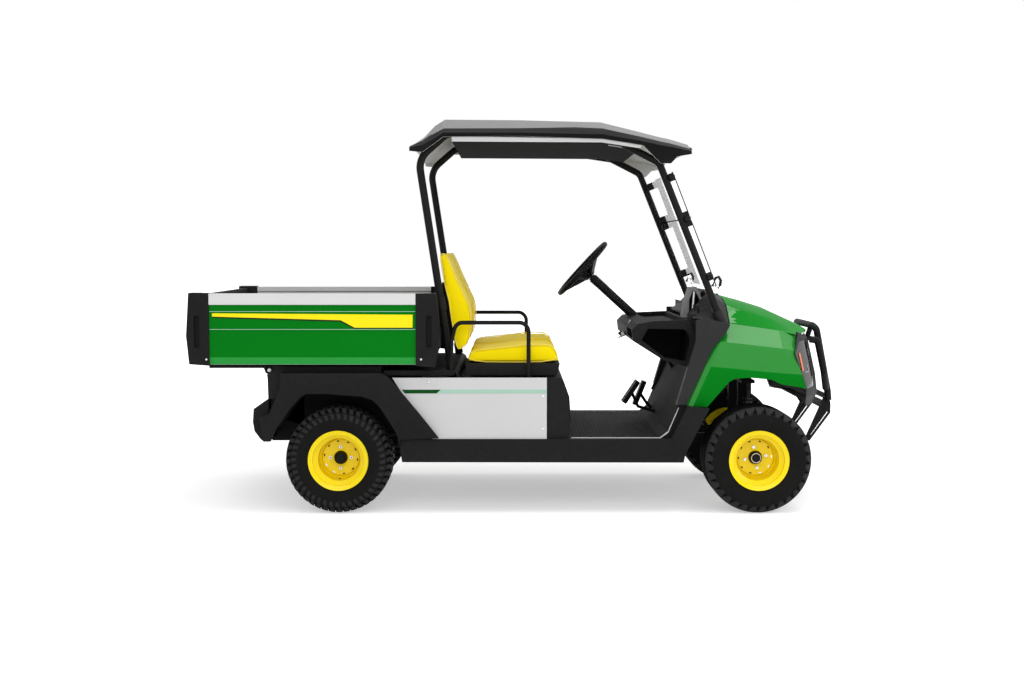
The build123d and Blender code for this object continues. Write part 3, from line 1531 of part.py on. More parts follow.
# Windshield clamps between the posts and the panes
with BuildPart() as windshield_clamps:
    for share in (0.04, 0.37, 0.43, 0.9):
        at = Vector(pane_top[0], 0, pane_top[1]) + pane_slope * share
        reach = -pane_normal
        seat = Plane(origin=(at.X, -cage_half + 20, at.Z), x_dir=(0, 1, 0), z_dir=tuple(reach))
        with BuildSketch(seat) as pad:
            RectangleRounded(58, 38, 8)
        extrude(pad.sketch, amount=36)
    post_line = [(x, -cage_half, z) for x, z in (post_foot, post_bend)]
    add(rod(*post_line, post_radius + seat_clearance), mode=Mode.SUBTRACT)
    mirror(about=Plane.XZ)
windshield_clamps.part.label = "windshield_clamps"
export_step(windshield_clamps.part, "parts/windshield_clamps.step")

# Hip rails beside the seats
with BuildPart() as hip_rails:
    line = [
        (seat_front - 525, -hip_rail_half, platform_top + seat_clearance),
        (seat_front - 522, -hip_rail_half, floor_z + 470),
        (seat_front - 500, -hip_rail_half, floor_z + 553),
        (seat_front - 155, -hip_rail_half, floor_z + 553),
        (seat_front - 155, -hip_rail_half, deck_z - 4 + seat_clearance),
    ]
    add(bent_tube(line, hip_tube_radius, [20, 40, 45]))
    mirror(about=Plane.XZ)
hip_rails.part.label = "hip_rails"
export_step(hip_rails.part, "parts/hip_rails.step")

# Backrests
backrest_inner = seat_gap / 2
backrest_outer = seat_half - 25
with BuildPart() as backrests:
    backrest_side = [
        (seat_front - 586, floor_z + 882),
        (seat_front - 565, floor_z + 887),
        (seat_front - 556, floor_z + 884),
        (seat_front - 531, floor_z + 833),
        (seat_front - 507, floor_z + 774),
        (seat_front - 467, floor_z + 700),
        (seat_front - 438, floor_z + 641),
        (seat_front - 426, floor_z + 582),
        (seat_front - 429, floor_z + 503),
        (seat_front - 445, floor_z + 438),
        (seat_front - 488, floor_z + 411),
        (seat_front - 502, floor_z + 430),
        (seat_front - 518, floor_z + 512),
    ]
    add(side_plate(backrest_side, backrest_inner, backrest_outer))
    mirror(about=Plane.XZ)
backrests.part.label = "backrests"
export_step(backrests.part, "parts/backrests.step")

# Seat deck that tips forward, and its two cushions
deck_half = hip_rail_half - hip_tube_radius - 10
with BuildPart() as seat_deck:
    deck_side = [
        (seat_front - 456, deck_z + 3),
        (seat_front - 456, seat_z),
        (seat_front - 5, seat_z),
        (seat_front - 12, deck_z + 30),
        (seat_front - 22, deck_z + 3),
    ]
    add(across(deck_side, deck_half))
    hollow_side = [
        (seat_front - 450, deck_z),
        (seat_front - 450, seat_z - 8),
        (seat_front - 14, seat_z - 8),
        (seat_front - 20, deck_z + 30),
        (seat_front - 28, deck_z),
    ]
    add(across(hollow_side, deck_half - 8), mode=Mode.SUBTRACT)
    # Sleeves on the seat's pins, in recesses that clear the lugs
    recess = ((seat_pin_x - 20, deck_z), (seat_front, seat_pin_z + 12))
    add(both_sides(seat_lugs[0] - 2, seat_lugs[1] + lug_width + 2, *recess), mode=Mode.SUBTRACT)
    sleeve_y = (seat_lugs[0] + lug_width + 2, seat_lugs[1] - 2)
    add(both_sides(*sleeve_y, (seat_pin_x - 4, seat_pin_z), (seat_pin_x + 4, seat_z - 7)))
    for side in (-1, 1):
        sleeve = [(seat_pin_x, side * y, seat_pin_z) for y in sleeve_y]
        add(rod(*sleeve, seat_pin_radius + 3))
        add(rod(*sleeve, seat_pin_radius + running_clearance), mode=Mode.SUBTRACT)
seat_deck.part.label = "seat_deck"
export_step(seat_deck.part, "parts/seat_deck.step")

with BuildPart() as cushions:
    cushion_side = [
        (seat_front - 454, seat_z + seat_clearance),
        (seat_front - 443, seat_z + 58),
        (seat_front - 334, seat_z + 71),
        (seat_front - 187, seat_z + 92),
        (seat_front - 49, seat_z + 92),
        (seat_front - 18, seat_z + 68),
        (seat_front, seat_z + seat_clearance),
    ]
    add(side_plate(cushion_side, seat_gap / 2, seat_half))
    mirror(about=Plane.XZ)
cushions.part.label = "cushions"
export_step(cushions.part, "parts/cushions.step")

# Load bed: ribbed floor, profiled sides with aluminium rails, front wall and corner posts
floor_half = bed_half - bed_wall - 8
side_start = bed_rear + corner_post_length
side_end = bed_front - corner_post_length + 1
post_inner = floor_half - 40
with BuildPart() as bed_floor:
    add(block((bed_rear + 73, -floor_half, bed_z), (side_end + 40, floor_half, bed_z + bed_floor_thickness)))
    for y in range(-480, 481, 80):
        add(
            block(
                (bed_rear + 90, y - 14, bed_z + bed_floor_thickness),
                (side_end + 20, y + 14, bed_z + bed_floor_thickness + 5),
            )
        )
    # Subframe with the ears that turn on the pivot pins
    subframe_rail = [
        (bed_rear + 83, bed_z - 20),
        (bed_rear + 83, bed_z),
        (rear_x + 215, bed_z),
        (rear_x + 205, bed_z - 20),
    ]
    ear = [
        (pivot_x - 40, bed_z),
        (pivot_x + 40, bed_z),
        (pivot_x + 24, pivot_z - 18),
        (pivot_x - 24, pivot_z - 18),
    ]
    bore = pivot_pin_radius + running_clearance
    with BuildPart(mode=Mode.PRIVATE) as subframe:
        add(side_plate(subframe_rail, pivot_y - 40, pivot_y))
        add(side_plate(ear, pivot_y - ear_thickness, pivot_y))
        add(rod((pivot_x, -pivot_y + ear_thickness, pivot_z), (pivot_x, -pivot_y, pivot_z), 24))
        ear_bore = [(pivot_x, y - pivot_y, pivot_z) for y in (60, -1)]
        add(rod(*ear_bore, bore), mode=Mode.SUBTRACT)
        mirror(about=Plane.XZ)
    add(subframe.part)
    for x in (bed_rear + 83, rear_x + 155):
        add(block((x, -pivot_y + 40, bed_z - 20), (x + 40, pivot_y - 40, bed_z)))
bed_floor.part.label = "bed_floor"
export_step(bed_floor.part, "parts/bed_floor.step")

with BuildPart() as bed_sides:
    outer_y = bed_half - 8
    side_top = bed_top - 56
    ridge = 4
    side_profile = [
        (-outer_y, side_top),
        (-outer_y, side_top - 28),
        (-outer_y - ridge, side_top - 31),
        (-outer_y, side_top - 34),
        (-outer_y, side_top - 112),
        (-outer_y - ridge, side_top - 115),
        (-outer_y, side_top - 118),
        (-outer_y, side_top - 247),
        (-outer_y + 6, bed_z + 5),
        (-floor_half, bed_z + 5),
        (-floor_half, side_top),
    ]
    add(along(side_profile, side_start, side_end))
    mirror(about=Plane.XZ)
bed_sides.part.label = "bed_sides"
export_step(bed_sides.part, "parts/bed_sides.step")

with BuildPart() as bed_rails:
    rail_profile = [
        (-floor_half, side_top),
        (-outer_y - 2, side_top),
        (-outer_y - 2, bed_top - top_rail_height - 4),
        (-bed_half, bed_top - top_rail_height),
        (-bed_half, bed_top - 3),
        (-bed_half + 5, bed_top - 3),
        (-floor_half + 4, bed_top - 3),
        (-floor_half + 4, bed_top - top_rail_height - 4),
        (-floor_half, bed_top - top_rail_height - 8),
    ]
    add(along(rail_profile, side_start, side_end))
    mirror(about=Plane.XZ)
bed_rails.part.label = "bed_rails"
export_step(bed_rails.part, "parts/bed_rails.step")

with BuildPart() as bed_corner_posts:
    rear_post = [
        (side_start, bed_top),
        (bed_rear + 13, bed_top),
        (bed_rear, bed_z + 140),
        (bed_rear + 13, bed_z + 7),
        (side_start, bed_z),
    ]
    add(side_plate(rear_post, post_inner, bed_half))
    front_post = [
        (side_end, bed_top - 3),
        (bed_front - 11, bed_top - 3),
        (bed_front, bed_top - 117),
        (bed_front, bed_z + 77),
        (bed_front - 17, bed_z - 8),
        (side_end, bed_z),
    ]
    add(side_plate(front_post, post_inner, bed_half))
    # Each post wraps the corner from outside, so its inside is cut back to a wall
    add(side_plate(
        [
            (side_start + 1, bed_z + bed_floor_thickness + 0.3),
            (side_start + 1, bed_top + 1),
            (gate_front, bed_top + 1),
            (gate_front, bed_z + bed_floor_thickness + 0.3),
        ],
        post_inner - 1,
        floor_half,
    ), mode=Mode.SUBTRACT)
    add(side_plate(
        [
            (gate_front, bed_z - 1),
            (side_start + 1, bed_z - 1),
            (side_start + 1, bed_z + bed_floor_thickness + 0.3),
            (gate_front, bed_z + bed_floor_thickness + 0.3),
        ],
        post_inner - 1,
        floor_half + 0.3,
    ), mode=Mode.SUBTRACT)
    add(side_plate(
        [
            (side_end - 1, bed_z - 20),
            (side_end - 1, bed_top + 1),
            (side_end + 41, bed_top + 1),
            (side_end + 41, bed_z - 20),
        ],
        post_inner - 1,
        floor_half + 0.3,
    ), mode=Mode.SUBTRACT)
    # Hand recesses in the outer faces
    for x, z in ((bed_rear + 50, bed_z + 160), (bed_front - 45, bed_z + 160)):
        with BuildSketch(Plane.XZ.offset(bed_half - 14)) as grip:
            with Locations((x, z)):
                RectangleRounded(26, 150, 10)
        extrude(grip.sketch, amount=15, mode=Mode.SUBTRACT)
    # Bores for the tailgate's pins
    gate_bore = [(gate_pin_x, -y, gate_pin_z) for y in (post_inner - 1, post_inner + 16)]
    add(rod(*gate_bore, gate_pin_radius + running_clearance), mode=Mode.SUBTRACT)
    mirror(about=Plane.XZ)
bed_corner_posts.part.label = "bed_corner_posts"
export_step(bed_corner_posts.part, "parts/bed_corner_posts.step")

wall_back = side_end + 41
with BuildPart() as bed_front_wall:
    wall_low = bed_z
    wall_high = bed_top - top_rail_height
    add(block((wall_back, -post_inner, wall_low), (wall_back + 14, post_inner, wall_high)))
    for y in range(-480, 481, 120):
        add(block((wall_back + 14, y - 25, wall_low + 20), (wall_back + 20, y + 25, wall_high - 20)))
bed_front_wall.part.label = "bed_front_wall"
export_step(bed_front_wall.part, "parts/bed_front_wall.step")

# Tailgate with ribs, hinged along its foot
gate_half = post_inner - 8
with BuildPart() as tailgate:
    gate_low = (gate_front - tailgate_thickness, -gate_half, bed_z + 24)
    add(block(gate_low, (gate_front, gate_half, bed_top - 12)))
    for y in range(-440, 441, 110):
        rib_low = (gate_front - tailgate_thickness - 1, y - 30, bed_z + 60)
        rib_high = (gate_front - tailgate_thickness + 7, y + 30, bed_top - 50)
        add(block(rib_low, rib_high), mode=Mode.SUBTRACT)
    for side in (-1, 1):
        pin = [(gate_pin_x, side * y, gate_pin_z) for y in (gate_half - 10, post_inner + 14)]
        add(rod(*pin, gate_pin_radius))
tailgate.part.label = "tailgate"
export_step(tailgate.part, "parts/tailgate.step")
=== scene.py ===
import json
import math

import bmesh
import bpy
from mathutils import Matrix, Vector

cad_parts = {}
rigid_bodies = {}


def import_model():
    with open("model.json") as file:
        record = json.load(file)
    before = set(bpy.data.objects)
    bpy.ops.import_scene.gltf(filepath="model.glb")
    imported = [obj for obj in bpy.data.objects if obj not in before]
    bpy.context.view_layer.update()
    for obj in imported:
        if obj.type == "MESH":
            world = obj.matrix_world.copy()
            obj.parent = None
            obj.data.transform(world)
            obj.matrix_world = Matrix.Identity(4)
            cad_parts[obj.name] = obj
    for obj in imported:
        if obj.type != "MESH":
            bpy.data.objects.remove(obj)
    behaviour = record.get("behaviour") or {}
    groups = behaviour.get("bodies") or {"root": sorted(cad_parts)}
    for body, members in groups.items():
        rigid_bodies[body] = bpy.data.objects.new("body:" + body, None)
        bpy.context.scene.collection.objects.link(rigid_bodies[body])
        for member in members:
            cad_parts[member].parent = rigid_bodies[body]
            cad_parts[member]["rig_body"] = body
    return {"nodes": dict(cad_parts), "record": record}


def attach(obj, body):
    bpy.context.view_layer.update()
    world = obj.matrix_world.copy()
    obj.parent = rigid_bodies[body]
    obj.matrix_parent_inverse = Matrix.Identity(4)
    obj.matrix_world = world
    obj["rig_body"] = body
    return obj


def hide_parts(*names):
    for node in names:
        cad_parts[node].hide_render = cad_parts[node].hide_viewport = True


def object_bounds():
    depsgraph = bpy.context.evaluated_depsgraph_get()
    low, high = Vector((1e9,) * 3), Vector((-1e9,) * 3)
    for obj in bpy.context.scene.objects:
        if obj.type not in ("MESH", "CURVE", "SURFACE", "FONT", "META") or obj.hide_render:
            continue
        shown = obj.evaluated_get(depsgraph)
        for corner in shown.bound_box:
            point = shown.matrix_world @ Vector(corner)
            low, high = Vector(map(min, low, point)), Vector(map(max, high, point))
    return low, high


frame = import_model()
startLow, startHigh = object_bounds()
cadNodes = frame["nodes"]
print("utility vehicle: frame loaded,", len(cadNodes), "CAD nodes")


def fillSocket(tree, socket, value):
    if hasattr(value, "is_linked"):
        tree.links.new(value, socket)
    elif socket.type == "RGBA" and isinstance(value, tuple):
        socket.default_value = (*value[:3], 1.0)
    else:
        socket.default_value = value


# A node with its settings; its inputs take plain values or the sockets that feed them
def placeNode(tree, kind, inputs=None, **settings):
    node = tree.nodes.new(kind)
    for key, value in settings.items():
        setattr(node, key, value)
    for label, value in (inputs or {}).items():
        fillSocket(tree, node.inputs[label], value)
    return node


def openGroup(name, kind, inputs, outputs):
    tree = bpy.data.node_groups.new(name, kind)
    for label, socketType, value in inputs:
        socket = tree.interface.new_socket(name=label, in_out="INPUT", socket_type=socketType)
        if value is not None:
            socket.default_value = value
    for label, socketType in outputs:
        tree.interface.new_socket(name=label, in_out="OUTPUT", socket_type=socketType)
    return tree, tree.nodes.new("NodeGroupInput"), tree.nodes.new("NodeGroupOutput")


def mathNode(tree, operation, first, second, clamp=False):
    return placeNode(tree, "ShaderNodeMath", {0: first, 1: second}, operation=operation,
                     use_clamp=clamp).outputs[0]


def mixColour(tree, factor, first, second):
    return placeNode(tree, "ShaderNodeMix", {0: factor, 6: first, 7: second}, data_type="RGBA").outputs[2]


# Fine moulded or leather-like grain, and slow patches in the tone
def makeGrainGroup():
    tree, entry, leave = openGroup(
        "surfaceGrain",
        "ShaderNodeTree",
        [
            ("Scale", "NodeSocketFloat", 600.0),
            ("Cells", "NodeSocketFloat", 0.5),
            ("Patch Scale", "NodeSocketFloat", 4.0),
        ],
        [("Height", "NodeSocketFloat"), ("Patch", "NodeSocketFloat")],
    )
    where = placeNode(tree, "ShaderNodeTexCoord").outputs["Object"]
    scale, share = entry.outputs["Scale"], entry.outputs["Cells"]
    noise = placeNode(tree, "ShaderNodeTexNoise", {"Vector": where, "Scale": scale, "Detail": 3.0})
    cells = placeNode(tree, "ShaderNodeTexVoronoi", {"Vector": where, "Scale": scale},
                      feature="DISTANCE_TO_EDGE")
    patch = placeNode(tree, "ShaderNodeTexNoise", {
        "Vector": where, "Scale": entry.outputs["Patch Scale"], "Detail": 5.0, "Roughness": 0.62,
    })
    raised = mathNode(tree, "MINIMUM", mathNode(tree, "MULTIPLY", cells.outputs["Distance"], 3.0), 1.0)
    cellPart = mathNode(tree, "MULTIPLY", raised, share)
    noisePart = mathNode(tree, "MULTIPLY", noise.outputs["Fac"], mathNode(tree, "SUBTRACT", 1.0, share))
    fillSocket(tree, leave.inputs["Height"], mathNode(tree, "ADD", cellPart, noisePart))
    fillSocket(tree, leave.inputs["Patch"], patch.outputs["Fac"])
    return tree


# Dust that settles low down and on faces that look up
def makeDustGroup():
    tree, entry, leave = openGroup(
        "settledDust",
        "ShaderNodeTree",
        [
            ("Colour", "NodeSocketColor", (0.1, 0.1, 0.1, 1)),
            ("Dust Colour", "NodeSocketColor", (0.35, 0.32, 0.28, 1)),
            ("Low", "NodeSocketFloat", 0.0),
            ("High", "NodeSocketFloat", 0.6),
            ("Amount", "NodeSocketFloat", 0.1),
        ],
        [("Colour", "NodeSocketColor"), ("Mask", "NodeSocketFloat")],
    )
    where = placeNode(tree, "ShaderNodeTexCoord").outputs["Object"]
    height = placeNode(tree, "ShaderNodeSeparateXYZ", {0: where}).outputs["Z"]
    reach = placeNode(tree, "ShaderNodeMapRange", {
        "Value": height, "From Min": entry.outputs["Low"], "From Max": entry.outputs["High"],
        "To Min": 1.0, "To Max": 0.15,
    })
    cloud = placeNode(tree, "ShaderNodeTexNoise",
                      {"Vector": where, "Scale": 9.0, "Detail": 7.0, "Roughness": 0.7})
    normal = placeNode(tree, "ShaderNodeNewGeometry").outputs["Normal"]
    facing = placeNode(tree, "ShaderNodeSeparateXYZ", {0: normal})
    upward = mathNode(tree, "MULTIPLY", mathNode(tree, "MAXIMUM", facing.outputs["Z"], 0.0), 0.6)
    wanted = mathNode(tree, "ADD", reach.outputs["Result"], upward)
    patches = mathNode(tree, "MULTIPLY", mathNode(tree, "SUBTRACT", cloud.outputs["Fac"], 0.25), 2.0,
                       clamp=True)
    dusty = mathNode(tree, "MULTIPLY", wanted, patches)
    mask = mathNode(tree, "MULTIPLY", dusty, entry.outputs["Amount"], clamp=True)
    colour = mixColour(tree, mask, entry.outputs["Colour"], entry.outputs["Dust Colour"])
    fillSocket(tree, leave.inputs["Colour"], colour)
    fillSocket(tree, leave.inputs["Mask"], mask)
    return tree


# Edges a little paler: partly rubbed wear, partly a painted highlight along sharp edges
def makeEdgeWearAndHighlightGroup():
    tree, entry, leave = openGroup(
        "edgeWearAndPaintedHighlight",
        "ShaderNodeTree",
        [
            ("Colour", "NodeSocketColor", (0.1, 0.1, 0.1, 1)),
            ("Edge Colour", "NodeSocketColor", (0.3, 0.3, 0.3, 1)),
            ("Amount", "NodeSocketFloat", 0.3),
        ],
        [("Colour", "NodeSocketColor"), ("Mask", "NodeSocketFloat")],
    )
    where = placeNode(tree, "ShaderNodeTexCoord").outputs["Object"]
    breakUp = placeNode(tree, "ShaderNodeTexNoise", {"Vector": where, "Scale": 40.0, "Detail": 4.0})
    edge = placeNode(tree, "ShaderNodeNewGeometry").outputs["Pointiness"]
    sharp = placeNode(tree, "ShaderNodeMapRange", {"Value": edge, "From Min": 0.52, "From Max": 0.62})
    wornOrLitEdge = mathNode(tree, "MULTIPLY", sharp.outputs["Result"], breakUp.outputs["Fac"])
    mask = mathNode(tree, "MULTIPLY", wornOrLitEdge, entry.outputs["Amount"], clamp=True)
    colour = mixColour(tree, mask, entry.outputs["Colour"], entry.outputs["Edge Colour"])
    fillSocket(tree, leave.inputs["Colour"], colour)
    fillSocket(tree, leave.inputs["Mask"], mask)
    return tree


grainGroup = makeGrainGroup()
dustGroup = makeDustGroup()
edgeWearAndHighlightGroup = makeEdgeWearAndHighlightGroup()


def useGroup(tree, group, inputs):
    node = placeNode(tree, "ShaderNodeGroup", node_tree=group)
    for label, value in inputs.items():
        fillSocket(tree, node.inputs[label], value)
    return node.outputs


def openMaterial(name):
    material = bpy.data.materials.new(name)
    material.use_nodes = True
    return material, material.node_tree, material.node_tree.nodes["Principled BSDF"].inputs


def makeFinish(name, colour, rough, grain=700.0, cells=0.4, bump=0.15, patch=0.12, patchScale=4.0, edge=0.0,
               edgeColour=(0.2, 0.2, 0.2), dust=0.0, dustTop=0.6, metal=0.0, coat=0.0, coatRough=0.1,
               specular=0.15):
    material, tree, surface = openMaterial(name)
    grainOut = useGroup(tree, grainGroup, {"Scale": grain, "Cells": cells, "Patch Scale": patchScale})
    darker = tuple(c * (1.0 - patch) for c in colour)
    lighter = tuple(min(1.0, c * (1.0 + patch)) for c in colour)
    tone = mixColour(tree, grainOut["Patch"], darker, lighter)
    # Sharp edges are lightened: wear and a painted highlight
    if edge > 0:
        tone = useGroup(tree, edgeWearAndHighlightGroup,
                        {"Colour": tone, "Edge Colour": edgeColour, "Amount": edge})["Colour"]
    roughness = mathNode(tree, "ADD", mathNode(tree, "MULTIPLY", grainOut["Patch"], 0.12), rough - 0.06)
    if dust > 0:
        dustOut = useGroup(tree, dustGroup, {"Colour": tone, "Amount": dust, "High": dustTop})
        tone = dustOut["Colour"]
        dulled = mathNode(tree, "MULTIPLY", dustOut["Mask"], 0.3)
        roughness = mathNode(tree, "ADD", roughness, dulled, clamp=True)
    relief = placeNode(tree, "ShaderNodeBump",
                       {"Strength": bump, "Distance": 0.0006, "Height": grainOut["Height"]})
    for label, value in (
        ("Base Color", tone), ("Roughness", roughness), ("Normal", relief.outputs["Normal"]),
        ("Metallic", metal),
        ("Coat Weight", coat), ("Coat Roughness", coatRough), ("Specular IOR Level", specular),
    ):
        fillSocket(tree, surface[label], value)
    return material


# What the finishes of one kind share
enamel = dict(grain=60, cells=0.0, bump=0.0, patch=0.05)
moulded = dict(grain=900, cells=0.5, bump=0.3, edge=0.5, dust=0.012, dustTop=0.9)
rubber = dict(grain=500, cells=0.2, bump=0.3, patch=0.3, patchScale=14)
litLens = dict(grain=200, cells=0.8, bump=0.2, patch=0.1, coat=0.8, coatRough=0.05)
decal = dict(grain=300, cells=0.0, bump=0.02)

finishValues = {
    "greenEnamel": dict(enamel, colour=(0.003, 0.235, 0.012), rough=0.26, coat=0.8, coatRough=0.10,
            specular=0.12),
    # A darker copy of the green without gloss, for facets facing up or down: painted shade
    "greenPaintedShade": dict(enamel, colour=(0.002, 0.215, 0.012), rough=0.4, specular=0.024),
    "bedEnamel": dict(enamel, colour=(0.0003, 0.190, 0.008), rough=0.4, coat=0.04, coatRough=0.2,
            specular=0.024),
    # A lighter green for the bed's lower band: a painted reflection of the floor
    "bedBandPaintedReflection": dict(colour=(0.030, 0.330, 0.055), rough=0.4, grain=60, cells=0.0, bump=0.0, patch=0.06,
            specular=0.024),
    "paleGreen": dict(colour=(0.38, 0.60, 0.48), rough=0.4, grain=260, cells=0.0, bump=0.03, patch=0.05,
            coat=0.2),
    "blackMoulding": dict(moulded, colour=(0.0085, 0.0085, 0.009), rough=0.6, patch=0.2,
            edgeColour=(0.05, 0.05, 0.05), specular=0.075),
    "greyMoulding": dict(moulded, colour=(0.021, 0.021, 0.0215), rough=0.5, patch=0.15,
            edgeColour=(0.07, 0.07, 0.07), specular=0.105),
    "cagePaint": dict(colour=(0.008, 0.0078, 0.0078), rough=0.48, grain=1400, cells=0.2, bump=0.2,
            patch=0.15, edge=0.25, edgeColour=(0.05, 0.05, 0.05), specular=0.09),
    "chassisPaint": dict(colour=(0.005, 0.005, 0.0055), rough=0.55, grain=800, cells=0.1, bump=0.2,
            patch=0.3, dust=0.04, dustTop=0.7, specular=0.06),
    "runningSteel": dict(colour=(0.016, 0.0155, 0.015), rough=0.45, grain=500, cells=0.0, bump=0.3,
            patch=0.5, metal=0.3, edge=0.6, edgeColour=(0.2, 0.19, 0.18), dust=0.06, dustTop=0.6),
    "brightSteel": dict(colour=(0.62, 0.62, 0.63), rough=0.3, grain=900, cells=0.0, bump=0.1, patch=0.15,
            metal=0.9),
    "aluminium": dict(colour=(0.61, 0.61, 0.617), rough=0.42, grain=500, cells=0.0, bump=0.08, patch=0.05,
            metal=0.35),
    "palePanel": dict(colour=(0.64, 0.64, 0.645), rough=0.5, grain=700, cells=0.4, bump=0.1, patch=0.04,
            dust=0.03, dustTop=0.7),
    "greyPanel": dict(colour=(0.20, 0.20, 0.205), rough=0.5, grain=700, cells=0.4, bump=0.1, patch=0.06),
    "roofSkin": dict(colour=(0.004, 0.004, 0.0042), rough=0.5, grain=600, cells=0.5, bump=0.15, patch=0.15,
            edge=0.3, edgeColour=(0.04, 0.04, 0.04), specular=0.048),
    # Grey for the roof's top over the black skin: a painted sheen
    "roofCrownPaintedSheen": dict(colour=(0.175, 0.175, 0.177), rough=0.46, grain=600, cells=0.5, bump=0.2, patch=0.08,
            specular=0.12),
    "rimEnamel": dict(colour=(1.0, 0.76, 0.0), rough=0.32, grain=300, cells=0.0, bump=0.03, patch=0.04,
            coat=0.3, coatRough=0.14, specular=0.12),
    "seatVinyl": dict(colour=(1.0, 0.76, 0.0005), rough=0.5, grain=420, cells=0.8, bump=0.15, patch=0.05,
            specular=0.06),
    "seatPiping": dict(colour=(0.94, 0.74, 0.10), rough=0.5, grain=900, cells=0.4, bump=0.2, patch=0.08,
            specular=0.09),
    "tyreRubber": dict(rubber, colour=(0.009, 0.009, 0.009), rough=0.7, edge=0.35,
            edgeColour=(0.05, 0.05, 0.05), dust=0.015, dustTop=0.5, specular=0.036),
    # Near-black rubber for the tread's floor between the lugs and for the liner's underside: painted shade,
    # with a little dust
    "deepPaintedShade": dict(rubber, colour=(0.003, 0.003, 0.003), rough=0.85, dust=0.02, dustTop=0.5,
            specular=0.024),
    # The lugs' rubber is a lighter copy of the tyre's: painted light on the tread
    "treadRubberPaintedLight": dict(rubber, colour=(0.012, 0.012, 0.012), rough=0.62, edge=0.5,
            edgeColour=(0.07, 0.07, 0.07), specular=0.075),
    "matRubber": dict(colour=(0.008, 0.008, 0.008), rough=0.66, grain=300, cells=0.7, bump=0.5, patch=0.4,
            patchScale=10, dust=0.02, dustTop=0.6, specular=0.06),
    "wheelGrip": dict(colour=(0.009, 0.009, 0.010), rough=0.5, grain=600, cells=0.2, bump=0.03, patch=0.1,
            specular=0.09),
    "darkLens": dict(colour=(0.004, 0.004, 0.005), rough=0.10, grain=200, cells=0.0, bump=0.02, patch=0.1,
            coat=0.6, coatRough=0.03),
    "clearLens": dict(colour=(0.42, 0.43, 0.44), rough=0.12, grain=160, cells=0.8, bump=0.5, patch=0.1,
            metal=0.5, coat=1.0, coatRough=0.03),
    "amberLens": dict(litLens, colour=(0.80, 0.14, 0.008), rough=0.2),
    "redLens": dict(litLens, colour=(0.42, 0.008, 0.006), rough=0.2),
    "stripeYellow": dict(decal, colour=(1.0, 0.84, 0.0), rough=0.4, patch=0.02, coat=0.2),
    "stripeBlack": dict(decal, colour=(0.010, 0.014, 0.009), rough=0.45, patch=0.1, specular=0.09),
    "stripeGreen": dict(decal, colour=(0.001, 0.065, 0.006), rough=0.45, patch=0.1, specular=0.09),
    "engineCover": dict(colour=(0.03, 0.03, 0.03), rough=0.6, grain=300, cells=0.3, bump=0.4, patch=0.4,
            dust=0.1),
}
finishes = {name: makeFinish(name, **values) for name, values in finishValues.items()}


def makeGlass():
    material, tree, surface = openMaterial("clearSheet")
    smear = useGroup(tree, grainGroup, {"Scale": 30.0, "Cells": 0.0, "Patch Scale": 3.0})
    tint = mixColour(tree, smear["Patch"], (0.93, 0.95, 0.95), (0.97, 0.98, 0.98))
    haze = mathNode(tree, "MULTIPLY", smear["Height"], 0.05)
    for label, value in (("Base Color", tint), ("Roughness", haze), ("Transmission Weight", 1.0),
                         ("IOR", 1.12)):
        fillSocket(tree, surface[label], value)
    return material


finishes["clearSheet"] = makeGlass()
print("finishes made:", len(finishes))


def addObject(name, mesh):
    piece = bpy.data.objects.new(name, mesh)
    bpy.context.scene.collection.objects.link(piece)
    return piece


def shapeOf(mesh):
    shape = bmesh.new()
    shape.from_mesh(mesh)
    return shape


def storeShape(shape, mesh):
    shape.to_mesh(mesh)
    shape.free()


def shownMesh(piece):
    return bpy.data.meshes.new_from_object(piece.evaluated_get(bpy.context.evaluated_depsgraph_get()))


# New edges where a plane crosses the shape
def crease(shape, place, normal):
    everything = [*shape.verts, *shape.edges, *shape.faces]
    bmesh.ops.bisect_plane(shape, geom=everything, plane_co=place, plane_no=normal)


edgeAngles = {"bevelled": math.radians(26), "sharp": math.radians(34)}


# A node's mesh, welded and with its sharp edges rounded, which stands for the node
def soften(nodeName, finish, softness=0.0, zones=(), reshape=None):
    source = cadNodes[nodeName]
    piece = addObject(nodeName + ".dressed", bpy.data.meshes.new(nodeName + ".dressed"))
    shape = shapeOf(source.data)
    bmesh.ops.remove_doubles(shape, verts=shape.verts, dist=2e-5)
    bmesh.ops.dissolve_degenerate(shape, edges=shape.edges, dist=1e-6)
    bmesh.ops.dissolve_limit(shape, angle_limit=math.radians(0.5), verts=shape.verts, edges=shape.edges)
    if reshape is not None:
        reshape(shape)
    if softness > 0:
        edges = [e for e in shape.edges if e.is_manifold and e.calc_face_angle(0.0) > edgeAngles["bevelled"]]
        bmesh.ops.bevel(shape, geom=edges, offset=softness, segments=2, profile=0.6, affect="EDGES",
                        clamp_overlap=True)
        bmesh.ops.remove_doubles(shape, verts=shape.verts, dist=1e-5)
    for edge in shape.edges:
        edge.smooth = edge.is_manifold and edge.calc_face_angle(0.0) < edgeAngles["sharp"]
    for face in shape.faces:
        face.smooth = True
    names = [finish] + [zone[0] for zone in zones]
    for face in shape.faces:
        centre = face.calc_center_median()
        for index, (_, test) in enumerate(zones, 1):
            if test(centre, face.normal):
                face.material_index = index
    storeShape(shape, piece.data)
    for name in names:
        piece.data.materials.append(finishes[name])
    weighted = piece.modifiers.new("weighted", "WEIGHTED_NORMAL")
    weighted.keep_sharp = True
    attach(piece, source["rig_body"])
    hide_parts(nodeName)
    return piece


slotOf = {part["node"]: part["material_slot"] for part in frame["record"]["subparts"]}

